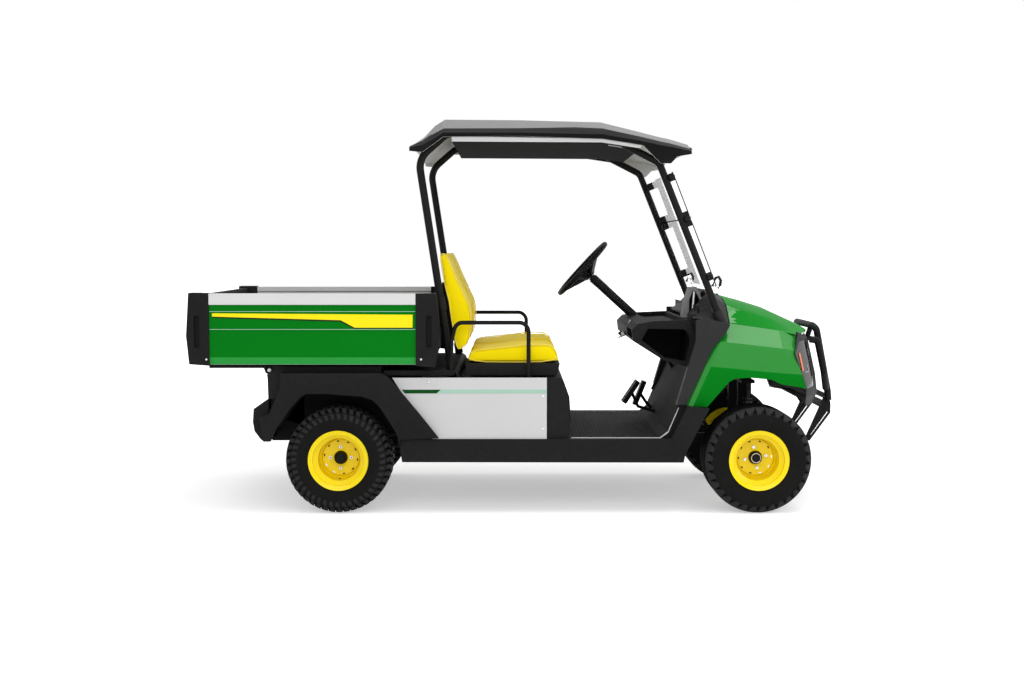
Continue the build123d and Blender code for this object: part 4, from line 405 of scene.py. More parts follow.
# What each node is finished in, and how far its edges are rounded, in metres
panels = {
    "hood": ("greenEnamel", 0.0022),
    "front_fenders": ("greenEnamel", 0.0030),
    "cowl": ("greyMoulding", 0.0022),
    "sills": ("blackMoulding", 0.0030),
    "front_fascia": ("greyMoulding", 0.0020),
    "rear_fenders": ("blackMoulding", 0.0050),
    "rear_fascia": ("blackMoulding", 0.0040),
    "seat_box": ("blackMoulding", 0.0020),
    "kick_panel": ("blackMoulding", 0.0040),
    "platform": ("blackMoulding", 0.0020),
    "dash": ("blackMoulding", 0.0030),
    "seat_deck": ("blackMoulding", 0.0030),
    "roof": ("roofSkin", 0.0050),
    "roof_liner": ("palePanel", 0.0020),
    "side_panels": ("palePanel", 0.0015),
    "bed_sides": ("bedEnamel", 0.0010),
    "bed_rails": ("aluminium", 0.0012),
    "bed_corner_posts": ("blackMoulding", 0.0060),
    "bed_front_wall": ("blackMoulding", 0.0020),
    "bed_floor": ("blackMoulding", 0.0015),
    "tailgate": ("blackMoulding", 0.0025),
    "floor_pan": ("matRubber", 0.0020),
    "dash_fittings": ("palePanel", 0.0015),
    "lamps": ("darkLens", 0.0010),
    "windshield": ("clearSheet", 0.0),
    "windshield_clamps": ("cagePaint", 0.0010),
    "backrest_bars": ("cagePaint", 0.0),
    "hip_rails": ("cagePaint", 0.0),
    "rear_posts": ("cagePaint", 0.0),
    "front_posts": ("cagePaint", 0.0),
    "roof_frame": ("cagePaint", 0.0),
    "brush_guard": ("cagePaint", 0.0),
    "frame": ("chassisPaint", 0.0015),
    "rear_axle": ("runningSteel", 0.0),
    "suspension_arms": ("chassisPaint", 0.0),
    "shocks": ("runningSteel", 0.0),
    "knuckle_right": ("runningSteel", 0.0),
    "knuckle_left": ("runningSteel", 0.0),
    "tie_rods": ("runningSteel", 0.0),
    "steering_column": ("cagePaint", 0.0),
    "steering_wheel": ("wheelGrip", 0.0),
    "pedals": ("cagePaint", 0.0008),
    "power_unit": ("engineCover", 0.0030),
}


# The fenders' facets: a bevelled strip along the rear edge, a lower facet and a turned front corner
facets = {"stripDepth": 0.020, "lowerDepth": 0.030, "cornerDepth": 0.034, "cornerX": 1.252}


def creaseFenders(shape):
    strip = ((0.9575, 0.811), (0.828, 0.513))
    rear = ((0.979, 0.855), (0.922, 0.789), (0.863, 0.657), (0.797, 0.514))
    lower = ((0.926, 0.688), (1.248, 0.668))
    for (x, z), (farX, farZ) in (strip, lower):
        crease(shape, (x, 0, z), Vector((farZ - z, 0, x - farX)).normalized())
    crease(shape, (facets["cornerX"], 0, 0), (1, 0, 0))
    for vert in shape.verts:
        x, z = vert.co.x, vert.co.z
        inward = 0.0
        for (nearX, nearZ), (farX, farZ) in zip(rear, rear[1:]):
            span = math.hypot(farX - nearX, farZ - nearZ)
            off = abs((x - nearX) * (farZ - nearZ) - (z - nearZ) * (farX - nearX)) / span
            if off < 0.003 and min(nearZ, farZ) - 0.004 < z < max(nearZ, farZ) + 0.004:
                inward = facets["stripDepth"]
        sill = 0.688 - 0.0621 * (x - 0.926)
        if z < sill - 0.002 and x > 0.86:
            inward = max(inward, facets["lowerDepth"] * min(1.0, (sill - z) / 0.07))
        if x > facets["cornerX"] + 0.001 and z < 0.86:
            inward += facets["cornerDepth"] * min(1.0, (x - facets["cornerX"]) / 0.09)
        vert.co.y -= math.copysign(inward, vert.co.y)


# The visor's front edge dips between its two inner corners
visor = {"cornerY": 0.300, "fromX": 0.80, "upperDip": 0.030, "lowerDip": 0.014}


def settleVisor(shape):
    crease(shape, (0, 0, 0), (0, 1, 0))
    for vert in shape.verts:
        if abs(abs(vert.co.y) - visor["cornerY"]) < 0.001 and vert.co.x > visor["fromX"]:
            if vert.co.z > startHigh.z - 0.125:
                vert.co.z -= visor["upperDip"]
            elif vert.co.z > startHigh.z - 0.160:
                vert.co.z -= visor["lowerDip"]


reshapeOf = {"front_fenders": creaseFenders, "roof": settleVisor}
onHandle = lambda c: math.hypot(c.x - 0.860 - (c.z - 0.94) * 0.0556, c.y + 0.276) < 0.0095
zonesOf = {
    # Hood and fender facets that face up or down take the darker, unglossed green: painted shade
    "hood": [("greenPaintedShade", lambda c, n: n.z > 0.82 or n.z < -0.02)],
    "front_fenders": [("greenPaintedShade", lambda c, n: n.z < -0.02 or n.z > 0.93)],
    # The bed's lower band is painted lighter green: a painted reflection of the floor
    "bed_sides": [("bedBandPaintedReflection", lambda c, n: c.z < 0.7515 and abs(c.y) > 0.6)],
    "roof": [
        # The roof's upward faces are painted grey: a painted sheen
        ("roofCrownPaintedSheen", lambda c, n: n.z > 0.2 and abs(c.y) < 0.547 and c.z > 1.70),
        ("palePanel", lambda c, n: n.z < -0.25 or n.y * c.y < -0.1),
    ],
    # The liner's middle underside and inner faces are painted near-black: painted shade
    "roof_liner": [("deepPaintedShade", lambda c, n: (n.z < -0.5 and abs(c.y) < 0.44) or n.y * c.y < -0.1)],
    "dash_fittings": [
        ("greyPanel", lambda c, n: c.z > 0.92),
        ("blackMoulding", lambda c, n: c.z < 0.92 and c.y > -0.02),
        ("matRubber", lambda c, n: -0.2893 < c.y < -0.17 and 0.839 < c.x < 0.901 and 0.940 < c.z < 1.051),
        ("brightSteel", lambda c, n: c.z > 0.925 and onHandle(c)),
    ],
    "lamps": [
        ("redLens", lambda c, n: c.x < 0 and c.z > 0.43),
        ("clearLens", lambda c, n: c.x < 0),
    ],
}
for nodeName, (finish, softness) in panels.items():
    soften(nodeName, finish, softness, zones=zonesOf.get(nodeName, ()), reshape=reshapeOf.get(nodeName))
print("panels and frame dressed:", len(panels))


# Each tree is built once, and its values are set on the modifier of what uses it
def openGeometry(name, inputs):
    inputs = [("Geometry", "NodeSocketGeometry", None)] + inputs
    return openGroup(name, "GeometryNodeTree", inputs, [("Geometry", "NodeSocketGeometry")])


def finishTree(tree, instances, entry, leave, shift=None):
    placed = placeNode(tree, "GeometryNodeRealizeInstances", {0: instances}).outputs[0]
    if shift is not None:
        placed = placeNode(tree, "GeometryNodeTransform",
                           {"Geometry": placed, "Translation": shift}).outputs[0]
    paint = placeNode(tree, "GeometryNodeSetMaterial",
                      {"Geometry": placed, "Material": entry.outputs["Material"]})
    tree.links.new(paint.outputs[0], leave.inputs["Geometry"])
    return tree


# Turns copies of one lug about the wheel's axle
def makeRingTree():
    tree, entry, leave = openGeometry("treadRing", [
        ("Count", "NodeSocketInt", 44), ("Phase", "NodeSocketFloat", 0.0),
        ("Centre", "NodeSocketVector", None), ("Material", "NodeSocketMaterial", None),
    ])
    points = placeNode(tree, "GeometryNodePoints", {"Count": entry.outputs["Count"]})
    place = placeNode(tree, "GeometryNodeInputIndex")
    step = mathNode(tree, "DIVIDE", math.tau, entry.outputs["Count"])
    angle = mathNode(tree, "MULTIPLY", mathNode(tree, "ADD", place.outputs[0], entry.outputs["Phase"]), step)
    turn = placeNode(tree, "ShaderNodeCombineXYZ", {"Y": angle})
    copies = placeNode(tree, "GeometryNodeInstanceOnPoints", {
        "Points": points.outputs[0], "Instance": entry.outputs["Geometry"], "Rotation": turn.outputs[0],
    })
    return finishTree(tree, copies.outputs[0], entry, leave, entry.outputs["Centre"])


# Sets a low round head on each point, turned to its "facing" attribute
def makeHeadTree():
    tree, entry, leave = openGeometry("screwHeads", [
        ("Radius", "NodeSocketFloat", 0.006), ("Height", "NodeSocketFloat", 0.003),
        ("Sides", "NodeSocketInt", 10), ("Material", "NodeSocketMaterial", None),
    ])
    radius = entry.outputs["Radius"]
    head = placeNode(tree, "GeometryNodeMeshCone", {
        "Vertices": entry.outputs["Sides"], "Radius Bottom": radius,
        "Radius Top": mathNode(tree, "MULTIPLY", radius, 0.72), "Depth": entry.outputs["Height"],
    })
    facing = placeNode(tree, "GeometryNodeInputNamedAttribute", {"Name": "facing"}, data_type="FLOAT_VECTOR")
    aim = placeNode(tree, "FunctionNodeAlignRotationToVector", {"Vector": facing.outputs["Attribute"]},
                    axis="Z")
    copies = placeNode(tree, "GeometryNodeInstanceOnPoints", {
        "Points": entry.outputs["Geometry"], "Instance": head.outputs["Mesh"], "Rotation": aim.outputs[0],
    })
    return finishTree(tree, copies.outputs[0], entry, leave)


# Repeats one piece along a straight row
def makeRowTree():
    tree, entry, leave = openGeometry("rowAlong", [
        ("Count", "NodeSocketInt", 10), ("Step", "NodeSocketVector", None),
        ("Material", "NodeSocketMaterial", None),
    ])
    sizes = {"Count": entry.outputs["Count"], "Offset": entry.outputs["Step"]}
    row = placeNode(tree, "GeometryNodeMeshLine", sizes, mode="OFFSET")
    copies = placeNode(tree, "GeometryNodeInstanceOnPoints", {
        "Points": row.outputs["Mesh"], "Instance": entry.outputs["Geometry"],
    })
    return finishTree(tree, copies.outputs[0], entry, leave)


ringTree = makeRingTree()
headTree = makeHeadTree()
rowTree = makeRowTree()


# Runs a tree on a mesh and returns the result as plain geometry
def grow(mesh, tree, **values):
    host = addObject("host", mesh)
    modifier = host.modifiers.new("grow", "NODES")
    modifier.node_group = tree
    for item in tree.interface.items_tree:
        if item.item_type == "SOCKET" and item.in_out == "INPUT" and item.name in values:
            modifier[item.identifier] = values[item.name]
    host.update_tag()
    bpy.context.view_layer.update()
    result = shownMesh(host)
    bpy.data.objects.remove(host)
    return result


def showMesh(name, mesh, body, finish, smooth=40.0):
    shape = shapeOf(mesh)
    bmesh.ops.recalc_face_normals(shape, faces=shape.faces)
    for face in shape.faces:
        face.smooth = True
        face.material_index = 0
    for edge in shape.edges:
        edge.smooth = edge.is_manifold and edge.calc_face_angle(0.0) < math.radians(smooth)
    storeShape(shape, mesh)
    mesh.materials.clear()
    mesh.materials.append(finishes[finish])
    piece = addObject(name, mesh)
    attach(piece, body)
    return piece


# Trim is gathered by body and finish, and each gathering becomes one mesh
trims = {}
trimSlots = {"cargo_bed": "green_bed", "aluminium": "rail", "brightSteel": "running_gear"}


def trimSlot(body, finish):
    return trimSlots.get(finish) or trimSlots.get(body) or "moulding"


def trimFor(body, finish, slotName=None):
    key = (body, finish, slotName or trimSlot(body, finish))
    if key not in trims:
        trims[key] = bmesh.new()
    return trims[key]


def addPrism(shape, corners, push):
    low = [shape.verts.new(corner) for corner in corners]
    high = [shape.verts.new(Vector(corner) + Vector(push)) for corner in corners]
    shape.faces.new(low)
    shape.faces.new(high[::-1])
    for index in range(len(corners)):
        after = (index + 1) % len(corners)
        shape.faces.new((low[index], low[after], high[after], high[index]))


# A plate given by x and z, on both flanks unless one is named
def addFlank(shape, points, inner, outer, sides=(-1, 1)):
    for side in sides:
        addPrism(shape, [(x, side * inner, z) for x, z in points], (0, side * (outer - inner), 0))


def addRound(shape, start, end, radius, sides=14, tip=None):
    start, end = Vector(start), Vector(end)
    turn = (end - start).to_track_quat("Z", "Y").to_matrix().to_4x4()
    place = Matrix.Translation((start + end) / 2) @ turn
    bmesh.ops.create_cone(shape, cap_ends=True, segments=sides, radius1=radius,
                          radius2=radius if tip is None else tip,
                          depth=(end - start).length, matrix=place)


# A round cord of metal or rubber through given points
def addTube(shape, points, radius, sides=10, closed=False):
    points = [Vector(point) for point in points]
    rings = []
    count = len(points)
    for index, point in enumerate(points):
        before = points[index - 1] if closed or index > 0 else point
        after = points[(index + 1) % count] if closed or index < count - 1 else point
        along = (after - before).normalized()
        across = along.cross(Vector((0, 0, 1)) if abs(along.z) < 0.9 else Vector((1, 0, 0))).normalized()
        up = across.cross(along)
        ring = []
        for step in range(sides):
            angle = math.tau * step / sides
            ring.append(shape.verts.new(point + across * math.cos(angle) * radius
                                        + up * math.sin(angle) * radius))
        rings.append(ring)
    pairs = list(zip(rings, rings[1:])) + ([(rings[-1], rings[0])] if closed else [])
    for first, second in pairs:
        for step in range(sides):
            after = (step + 1) % sides
            shape.faces.new((first[step], first[after], second[after], second[step]))
    if not closed:
        shape.faces.new(rings[0][::-1])
        shape.faces.new(rings[-1])


# Wheels: the carcass stands a lug's depth inside the tyre's outline, and the lugs reach it
tread = {"pitches": 44, "depth": 0.0090, "frontWaves": 33, "lugWidth": 0.0185, "frontWidth": 0.0485,
         "frontDepth": 0.006}
carcass = {"treadFrom": 0.2475, "shoulderFrom": 0.2340, "drawIn": 0.0035, "paintedShadeFrom": 0.222,
           "grooves": (0.014, 0.024, 0.050, 0.060)}
axleHeight = 0.255
wheelAt = {
    "front_right": (1.140, -0.483), "front_left": (1.140, 0.483),
    "rear_right": (-0.860, -0.483), "rear_left": (-0.860, 0.483),
}


def lugMesh(stations, width, depth, drop=0.004):
    mesh = bpy.data.meshes.new("lug")
    shape = bmesh.new()
    for side in (-1, 1):
        rows = []
        for shift, y, radius, share in stations:
            row = []
            for edge, sink in ((-1, depth + drop), (-1, 0.0), (1, 0.0), (1, depth + drop)):
                swing = (shift + edge * width * share / 2) / radius
                reach = radius - sink
                row.append(shape.verts.new((math.sin(swing) * reach, side * y, math.cos(swing) * reach)))
            rows.append(row)
        for first, second in zip(rows, rows[1:]):
            for k in range(3):
                shape.faces.new((first[k], first[k + 1], second[k + 1], second[k]))
        shape.faces.new(rows[0])
        shape.faces.new(rows[-1])
    storeShape(shape, mesh)
    return mesh


def dressTyre(corner):
    x, y = wheelAt[corner]
    front = corner.startswith("front")
    # The tyre's faces beyond this reach, down among the lugs, are painted near-black: painted shade in the
    # grooves
    outer = [("deepPaintedShade", lambda c, n: math.hypot(c.x - x, c.z - axleHeight) > carcass["paintedShadeFrom"])]
    piece = soften("tyre_" + corner, "tyreRubber", zones=outer)
    shape = shapeOf(piece.data)
    for cut in carcass["grooves"] if front else ():
        for side in (-1, 1):
            crease(shape, (0, y + side * cut, 0), (0, 1, 0))
    for vert in shape.verts:
        out = Vector((vert.co.x - x, 0, vert.co.z - axleHeight))
        reach = out.length
        off = abs(vert.co.y - y)
        sink = 0.0
        if reach > carcass["treadFrom"]:
            sink = tread["depth"]
            if front and (off < 0.0141 or 0.0239 < off < 0.0501 or 0.0599 < off < 0.0901):
                sink = 0.0
        elif reach > carcass["shoulderFrom"]:
            sink = tread["depth"] * 0.8
            vert.co.y += math.copysign(carcass["drawIn"], y - vert.co.y)
        if sink > 0:
            vert.co -= out.normalized() * sink
    storeShape(shape, piece.data)
    if front:
        stations = [(0.0, 0.079, 0.2549, 1.0), (0.004, 0.097, 0.2502, 0.92), (-0.003, 0.1155, 0.2300, 0.35)]
        lug = lugMesh(stations, tread["frontWidth"], tread["frontDepth"])
    else:
        stations = [(-0.014, 0.006, 0.2549, 1.0), (0.009, 0.066, 0.2549, 1.0), (-0.008, 0.0975, 0.2500, 1.0),
                    (0.007, 0.1188, 0.2110, 0.8)]
        lug = lugMesh(stations, tread["lugWidth"], tread["depth"])
    count = tread["frontWaves"] if front else tread["pitches"]
    ring = grow(lug, ringTree, Count=count, Phase=0.25 if y > 0 else 0.0, Centre=(x, y, axleHeight),
                Material=finishes["treadRubberPaintedLight"])
    body = cadNodes["tyre_" + corner]["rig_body"]
    showMesh("tread_" + corner, ring, body, "treadRubberPaintedLight", smooth=25.0)


# Reaches from the axle, and how the vents stand round the disc
disc = {"hub": 0.0335, "nutsFrom": 0.040, "nutsTo": 0.063, "nutCircle": 0.051, "castTurn": 35,
        "frontTurn": 10,
        "ventCircle": 0.077, "ventReach": 0.0076, "ventScale": 1.45, "ventPitch": 36, "ventPhase": 9}
rearCap = ((0.5065, 0.520, 0.029, 0.027), (0.520, 0.529, 0.027, 0.019), (0.529, 0.5325, 0.019, 0.006))


def dressRim(corner):
    x, y = wheelAt[corner]
    side = -1 if y < 0 else 1
    front = corner.startswith("front")
    phase = math.radians(disc["frontTurn"] if front else 0)
    nowhere = lambda c, n: False
    piece = soften("rim_" + corner, "rimEnamel", zones=[("brightSteel", nowhere), ("cagePaint", nowhere)])
    verts = piece.data.vertices
    for face in piece.data.polygons:
        reach = [math.hypot(verts[k].co.x - x, verts[k].co.z - axleHeight) for k in face.vertices]
        proud = min(abs(verts[k].co.y) for k in face.vertices) > abs(y) + 0.0015 or abs(face.normal.y) < 0.3
        if max(reach) < disc["hub"]:
            face.material_index = 2
        elif proud and min(reach) > disc["nutsFrom"] and max(reach) < disc["nutsTo"]:
            face.material_index = 1
    # The vents are opened up a little about their own middles
    pitch = math.radians(disc["ventPitch"])
    shift = side * math.radians(disc["ventPhase"])
    for vert in verts:
        angle = math.atan2(vert.co.z - axleHeight, vert.co.x - x)
        near = round((angle + shift) / pitch) * pitch - shift
        away = disc["ventCircle"]
        vent = Vector((x + away * math.cos(near), vert.co.y, axleHeight + away * math.sin(near)))
        if (vert.co - vent).length < disc["ventReach"]:
            vert.co = vent + (vert.co - vent) * disc["ventScale"]
    turn = Matrix.Rotation(side * (phase - math.radians(disc["castTurn"])), 4, "Y")
    middle = Matrix.Translation((x, y, axleHeight))
    piece.data.transform(middle @ turn @ middle.inverted())
    body = cadNodes["rim_" + corner]["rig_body"]
    dark = trimFor(body, "cagePaint", "rim")
    nuts = trimFor(body, "brightSteel", "rim") if front else dark
    at = lambda away, turn, radius: (x + radius * math.cos(turn), side * away,
                                     axleHeight + radius * math.sin(turn))
    if front:
        addRound(dark, at(0.5065, 0, 0), at(0.516, 0, 0), 0.028, 24, 0.026)
        ring = [at(0.5165, math.tau * step / 28, 0.0225) for step in range(28)]
        addTube(nuts, ring, 0.0022, 6, closed=True)
        addRound(dark, at(0.516, 0, 0), at(0.519, 0, 0), 0.0155, 20, 0.013)
    else:
        for low, high, wide, narrow in rearCap:
            addRound(dark, at(low, 0, 0), at(high, 0, 0), wide, 24, narrow)
    # Seam where the disc meets the drum, and the valve
    seam = [at(0.4795, math.tau * step / 48, 0.1035) for step in range(48)]
    addTube(dark, seam, 0.0016, 5, closed=True)
    valve = math.radians(100 if front else -92)
    addRound(dark, at(0.486, valve, 0.1080), at(0.512, valve, 0.1010), 0.0048, 10, 0.0040)
    for index in range(4):
        turn = math.radians(90 * index) - side * phase
        addRound(nuts, at(0.4945, turn, disc["nutCircle"]), at(0.4965, turn, disc["nutCircle"]), 0.0034,
                 10, 0.0030)


for corner in wheelAt:
    dressRim(corner)
    dressTyre(corner)
print("wheels dressed")

# Seats: each pad is blown up between its seams, then kept inside the outline of its node
seats = {"voxel": 0.006, "pressure": 3.2, "drawIn": 0.010, "bolster": 0.085, "piping": 0.0027, "steps": 18}


def sideOutline(points, smooth=2):
    middle = sum(points, Vector((0, 0))) / len(points)
    ring = sorted(points, key=lambda p: math.atan2(p.y - middle.y, p.x - middle.x))
    for _ in range(smooth):
        ring = [near.lerp(far, share) for near, far in zip(ring, ring[1:] + ring[:1])
                for share in (0.25, 0.75)]
    return ring


def padSeat(nodeName, side, lean):
    source = cadNodes[nodeName]
    shape = shapeOf(source.data)
    bmesh.ops.delete(shape, geom=[v for v in shape.verts if v.co.y * side < 0], context="VERTS")
    bmesh.ops.remove_doubles(shape, verts=shape.verts, dist=2e-5)
    low = Vector([min(v.co[axis] for v in shape.verts) for axis in range(3)])
    high = Vector([max(v.co[axis] for v in shape.verts) for axis in range(3)])
    middle = (low + high) / 2
    edgeY = max(v.co.y for v in shape.verts)
    outline = sideOutline([Vector((v.co.x, v.co.z)) for v in shape.verts if v.co.y > edgeY - 1e-4])
    for vert in shape.verts:
        for axis in range(3):
            half = (high[axis] - low[axis]) / 2
            share = 1 - seats["drawIn"] / half
            vert.co[axis] = middle[axis] + (vert.co[axis] - middle[axis]) * share
    pad = addObject(nodeName + (".right" if side < 0 else ".left"), bpy.data.meshes.new(nodeName + ".pad"))
    storeShape(shape, pad.data)
    remesh = pad.modifiers.new("voxels", "REMESH")
    remesh.mode = "VOXEL"
    remesh.voxel_size = seats["voxel"]
    bpy.context.view_layer.update()
    fine = shownMesh(pad)
    pad.modifiers.clear()
    pad.data = fine
    seam = pad.vertex_groups.new(name="seam")
    bolsterLow = low.y + seats["bolster"]
    bolsterHigh = high.y - seats["bolster"]
    for vert in fine.vertices:
        rim = 0.33 < abs(vert.normal.y) < 0.95
        facing = vert.normal.x * lean[0] + vert.normal.z * lean[1]
        toBolster = min(abs(vert.co.y - bolsterLow), abs(vert.co.y - bolsterHigh))
        channel = facing > 0.45 and toBolster < seats["voxel"] * 0.7
        if rim or channel or facing < -0.6:
            seam.add([vert.index], 1.0, "REPLACE")
    cloth = pad.modifiers.new("stuffing", "CLOTH")
    cloth.settings.quality = 5
    cloth.settings.mass = 0.3
    cloth.settings.use_pressure = True
    cloth.settings.uniform_pressure_force = seats["pressure"]
    cloth.settings.vertex_group_mass = "seam"
    cloth.settings.effector_weights.gravity = 0.0
    cloth.collision_settings.use_self_collision = False
    cloth.point_cache.frame_start = 1
    cloth.point_cache.frame_end = seats["steps"] + 2
    for step in range(1, seats["steps"] + 1):
        bpy.context.scene.frame_set(step)
    blown = shownMesh(pad)
    pad.modifiers.clear()
    pad.vertex_groups.clear()
    pad.data = blown
    bpy.context.scene.frame_set(1)
    for vert in pad.data.vertices:
        vert.co = Vector([min(max(vert.co[axis], low[axis] + 0.0005), high[axis] - 0.0005)
                          for axis in range(3)])
    shape = shapeOf(pad.data)
    for _ in range(3):
        bmesh.ops.smooth_vert(shape, verts=shape.verts, factor=0.4, use_axis_x=True, use_axis_y=True,
                              use_axis_z=True)
    for face in shape.faces:
        face.smooth = True
    storeShape(shape, pad.data)
    pad.data.materials.clear()
    pad.data.materials.append(finishes["seatVinyl"])
    piping = trimFor(source["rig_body"], "seatPiping", slotOf[nodeName])
    inset = seats["drawIn"] * 0.75
    for y in (low.y + seats["drawIn"] + 0.001, high.y - seats["drawIn"] - 0.001):
        loop = []
        for at in outline:
            away = at - Vector((middle.x, middle.z))
            loop.append((at.x - away.normalized().x * inset, y, at.y - away.normalized().y * inset))
        addTube(piping, loop, seats["piping"], 8, closed=True)
    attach(pad, source["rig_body"])
    return pad


for nodeName, lean in (("cushions", (0.0, 1.0)), ("backrests", (0.93, 0.37))):
    pads = [padSeat(nodeName, side, lean) for side in (-1, 1)]
    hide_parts(nodeName)
print("seats padded")


# Bed: stripe, painted highlight lines and screws on its flanks
bedTrim = {"face": 0.6322, "thick": 0.0006, "bandLow": 0.890, "bandHigh": 0.958, "highlightHalf": 0.0012}


def trimBed():
    yellow = trimFor("cargo_bed", "stripeYellow")
    dark = trimFor("cargo_bed", "stripeBlack")
    pale = trimFor("cargo_bed", "palePanel")
    low, high = bedTrim["bandLow"], bedTrim["bandHigh"]
    face, over = bedTrim["face"], bedTrim["face"] + bedTrim["thick"]
    foot = [(-1.441, 0.942), (-0.838, 0.925), (-0.772, low), (-0.501, low)]
    addFlank(yellow, [(-1.441, high), *foot, (-0.500, 0.951)], face, over)
    shade = [(-1.441, 0.936), (-0.841, 0.918), (-0.775, 0.8855), (-0.501, 0.8855)]
    addFlank(dark, [foot[0], *shade, *foot[:0:-1]], face, over)
    # A thin pale line along the band's foot: a painted highlight
    addFlank(pale, [(-1.453, 0.7165), (-1.453, 0.7200), (-0.488, 0.7200), (-0.488, 0.7165)], 0.6245, 0.6262)
    cover = trimFor("cargo_bed", "aluminium")
    addFlank(cover, [(-1.4545, 0.9985), (-1.4545, 1.0495), (-0.4865, 1.0495), (-0.4865, 0.9985)],
             0.6385, 0.6401)
    # Pale lines along the flank's two ridges: painted highlights
    paintedHighlightLines = trimFor("cargo_bed", "paleGreen")
    for z in (0.966, 0.882):
        below, above = z - bedTrim["highlightHalf"], z + bedTrim["highlightHalf"]
        addFlank(paintedHighlightLines, [(-1.453, below), (-1.453, above), (-0.488, above), (-0.488, below)], 0.6350, 0.6362)


trimBed()

# Side panels: a dark stripe that runs out into a pale one
panelTrim = {"low": 0.5755, "high": 0.5935, "face": 0.5902}


def trimPanels():
    low, high, face = panelTrim["low"], panelTrim["high"], panelTrim["face"]
    dark = trimFor("chassis", "stripeGreen")
    pale = trimFor("chassis", "paleGreen")
    addFlank(dark, [(-0.556, high), (-0.372, high), (-0.392, low), (-0.541, low)], face, face + 0.0006)
    addFlank(pale, [(-0.370, high), (0.129, high), (0.129, low), (-0.390, low)], face, face + 0.0006)


trimPanels()

# Floor: ribs across the mat and a bright strip along its edges and up the toe slope
floorTrim = {"firstRib": 0.262, "pitch": 0.0175, "ribs": 23, "rise": 0.0022, "halfWidth": 0.540}


def trimFloor():
    rib = bpy.data.meshes.new("rib")
    shape = bmesh.new()
    x, top, half = floorTrim["firstRib"], 0.3560 + floorTrim["rise"], floorTrim["halfWidth"]
    section = [(x, 0.3555), (x + 0.0015, top), (x + 0.0065, top), (x + 0.008, 0.3555)]
    addPrism(shape, [(ribX, -half, z) for ribX, z in section], (0, 2 * half, 0))
    storeShape(shape, rib)
    pitch = (floorTrim["pitch"], 0, 0)
    ribs = grow(rib, rowTree, Count=floorTrim["ribs"], Step=pitch, Material=finishes["matRubber"])
    showMesh("mat_ribs", ribs, "chassis", "matRubber")
    bright = trimFor("chassis", "aluminium")
    upper = [(0.250, 0.3605), (0.673, 0.3605), (0.711, 0.3895), (0.760, 0.505)]
    lower = [(0.764, 0.502), (0.715, 0.3855), (0.676, 0.3555)]
    addFlank(bright, [(0.250, 0.3555), *upper, *lower], 0.546, 0.5585)


trimFloor()

# Cabin: column jacket, wheel centre, pedal ribs, post knobs and the fold of the windshield
cabin = {"knobRadius": 0.015, "foldRadius": 0.0045, "jacketRadius": 0.0235, "jacketFrom": 0.075,
         "jacketLength": 0.300}
helmMiddle = Vector((0.341, 0.25, 1.155))
helmAxis = Vector((0.738455, 0, -0.674302))


def trimCabin():
    dark = trimFor("chassis", "wheelGrip")
    for share, outer in ((0.04, 0.533), (0.40, 0.530), (0.90, 0.530)):
        x = 0.726 + 0.216 * share
        z = 1.625 - 0.549 * share
        for side in (-1, 1):
            knob = [(x - 0.014, side * y, z - 0.004) for y in (0.512, outer)]
            addRound(dark, *knob, cabin["knobRadius"], 8, 0.012)
            addRound(dark, (x - 0.004, side * 0.470, z), (x - 0.004, side * 0.497, z), 0.011, 12)
    addRound(dark, (0.8125, -0.498, 1.4045), (0.8125, 0.498, 1.4045), cabin["foldRadius"], 10)
    wheel = trimFor("helm", "wheelGrip")
    hub = helmMiddle + helmAxis * 0.010
    addRound(wheel, hub, hub - helmAxis * 0.006, 0.040, 28, 0.036)
    # The dished middle and the webs under the spokes
    addRound(wheel, helmMiddle + helmAxis * 0.016, helmMiddle + helmAxis * 0.060, 0.078, 28, 0.029)
    across = Vector((0, 1, 0))
    for angle in (90, 210, 330):
        outward = (across * math.cos(math.radians(angle))
                   - helmAxis.cross(across) * math.sin(math.radians(angle)))
        flat = helmAxis.cross(outward) * 0.030
        web = ((0.058, 0.024), (0.010, 0.166), (0.004, 0.166), (0.012, 0.060))
        corners = [helmMiddle + helmAxis * deep + outward * reach - flat / 2 for deep, reach in web]
        addPrism(wheel, corners, flat)
    jacket = helmMiddle + helmAxis * cabin["jacketFrom"]
    addRound(dark, jacket, jacket + helmAxis * cabin["jacketLength"], cabin["jacketRadius"], 24)
    pads = trimFor("chassis", "matRubber")
    for step in range(6):
        share = step / 5
        x, z = 0.560 + 0.068 * share, 0.4555 + 0.098 * share
        addRound(pads, (x - 0.0085, 0.142, z + 0.006), (x - 0.0085, 0.218, z + 0.006), 0.0028, 8)
        x, z = 0.634 + 0.046 * share, 0.4265 + 0.108 * share
        addRound(pads, (x - 0.0095, 0.316, z + 0.005), (x - 0.0095, 0.364, z + 0.005), 0.0026, 8)


trimCabin()

# Fasteners on both flanks, by body, finish and radius: how far out they stand, and their places along and up
screws = {
    ("chassis", "brightSteel", 0.0065): [(0.5901, [(0.112, 0.560), (0.112, 0.405), (-0.430, 0.628)])],
    ("chassis", "cagePaint", 0.008): [
        (0.6001, [(-0.500, 0.300), (-0.200, 0.300), (0.150, 0.300), (0.500, 0.300), (0.730, 0.300)]),
        (0.6201, [(-0.480, 0.420), (-0.600, 0.590), (-1.050, 0.640)]),
    ],
    ("cargo_bed", "brightSteel", 0.006): [(0.6388, [(-1.469, 0.741), (-0.461, 0.741)])],
    ("chassis", "aluminium", 0.010): [(0.5665, [(-1.187, 0.685)])],
}


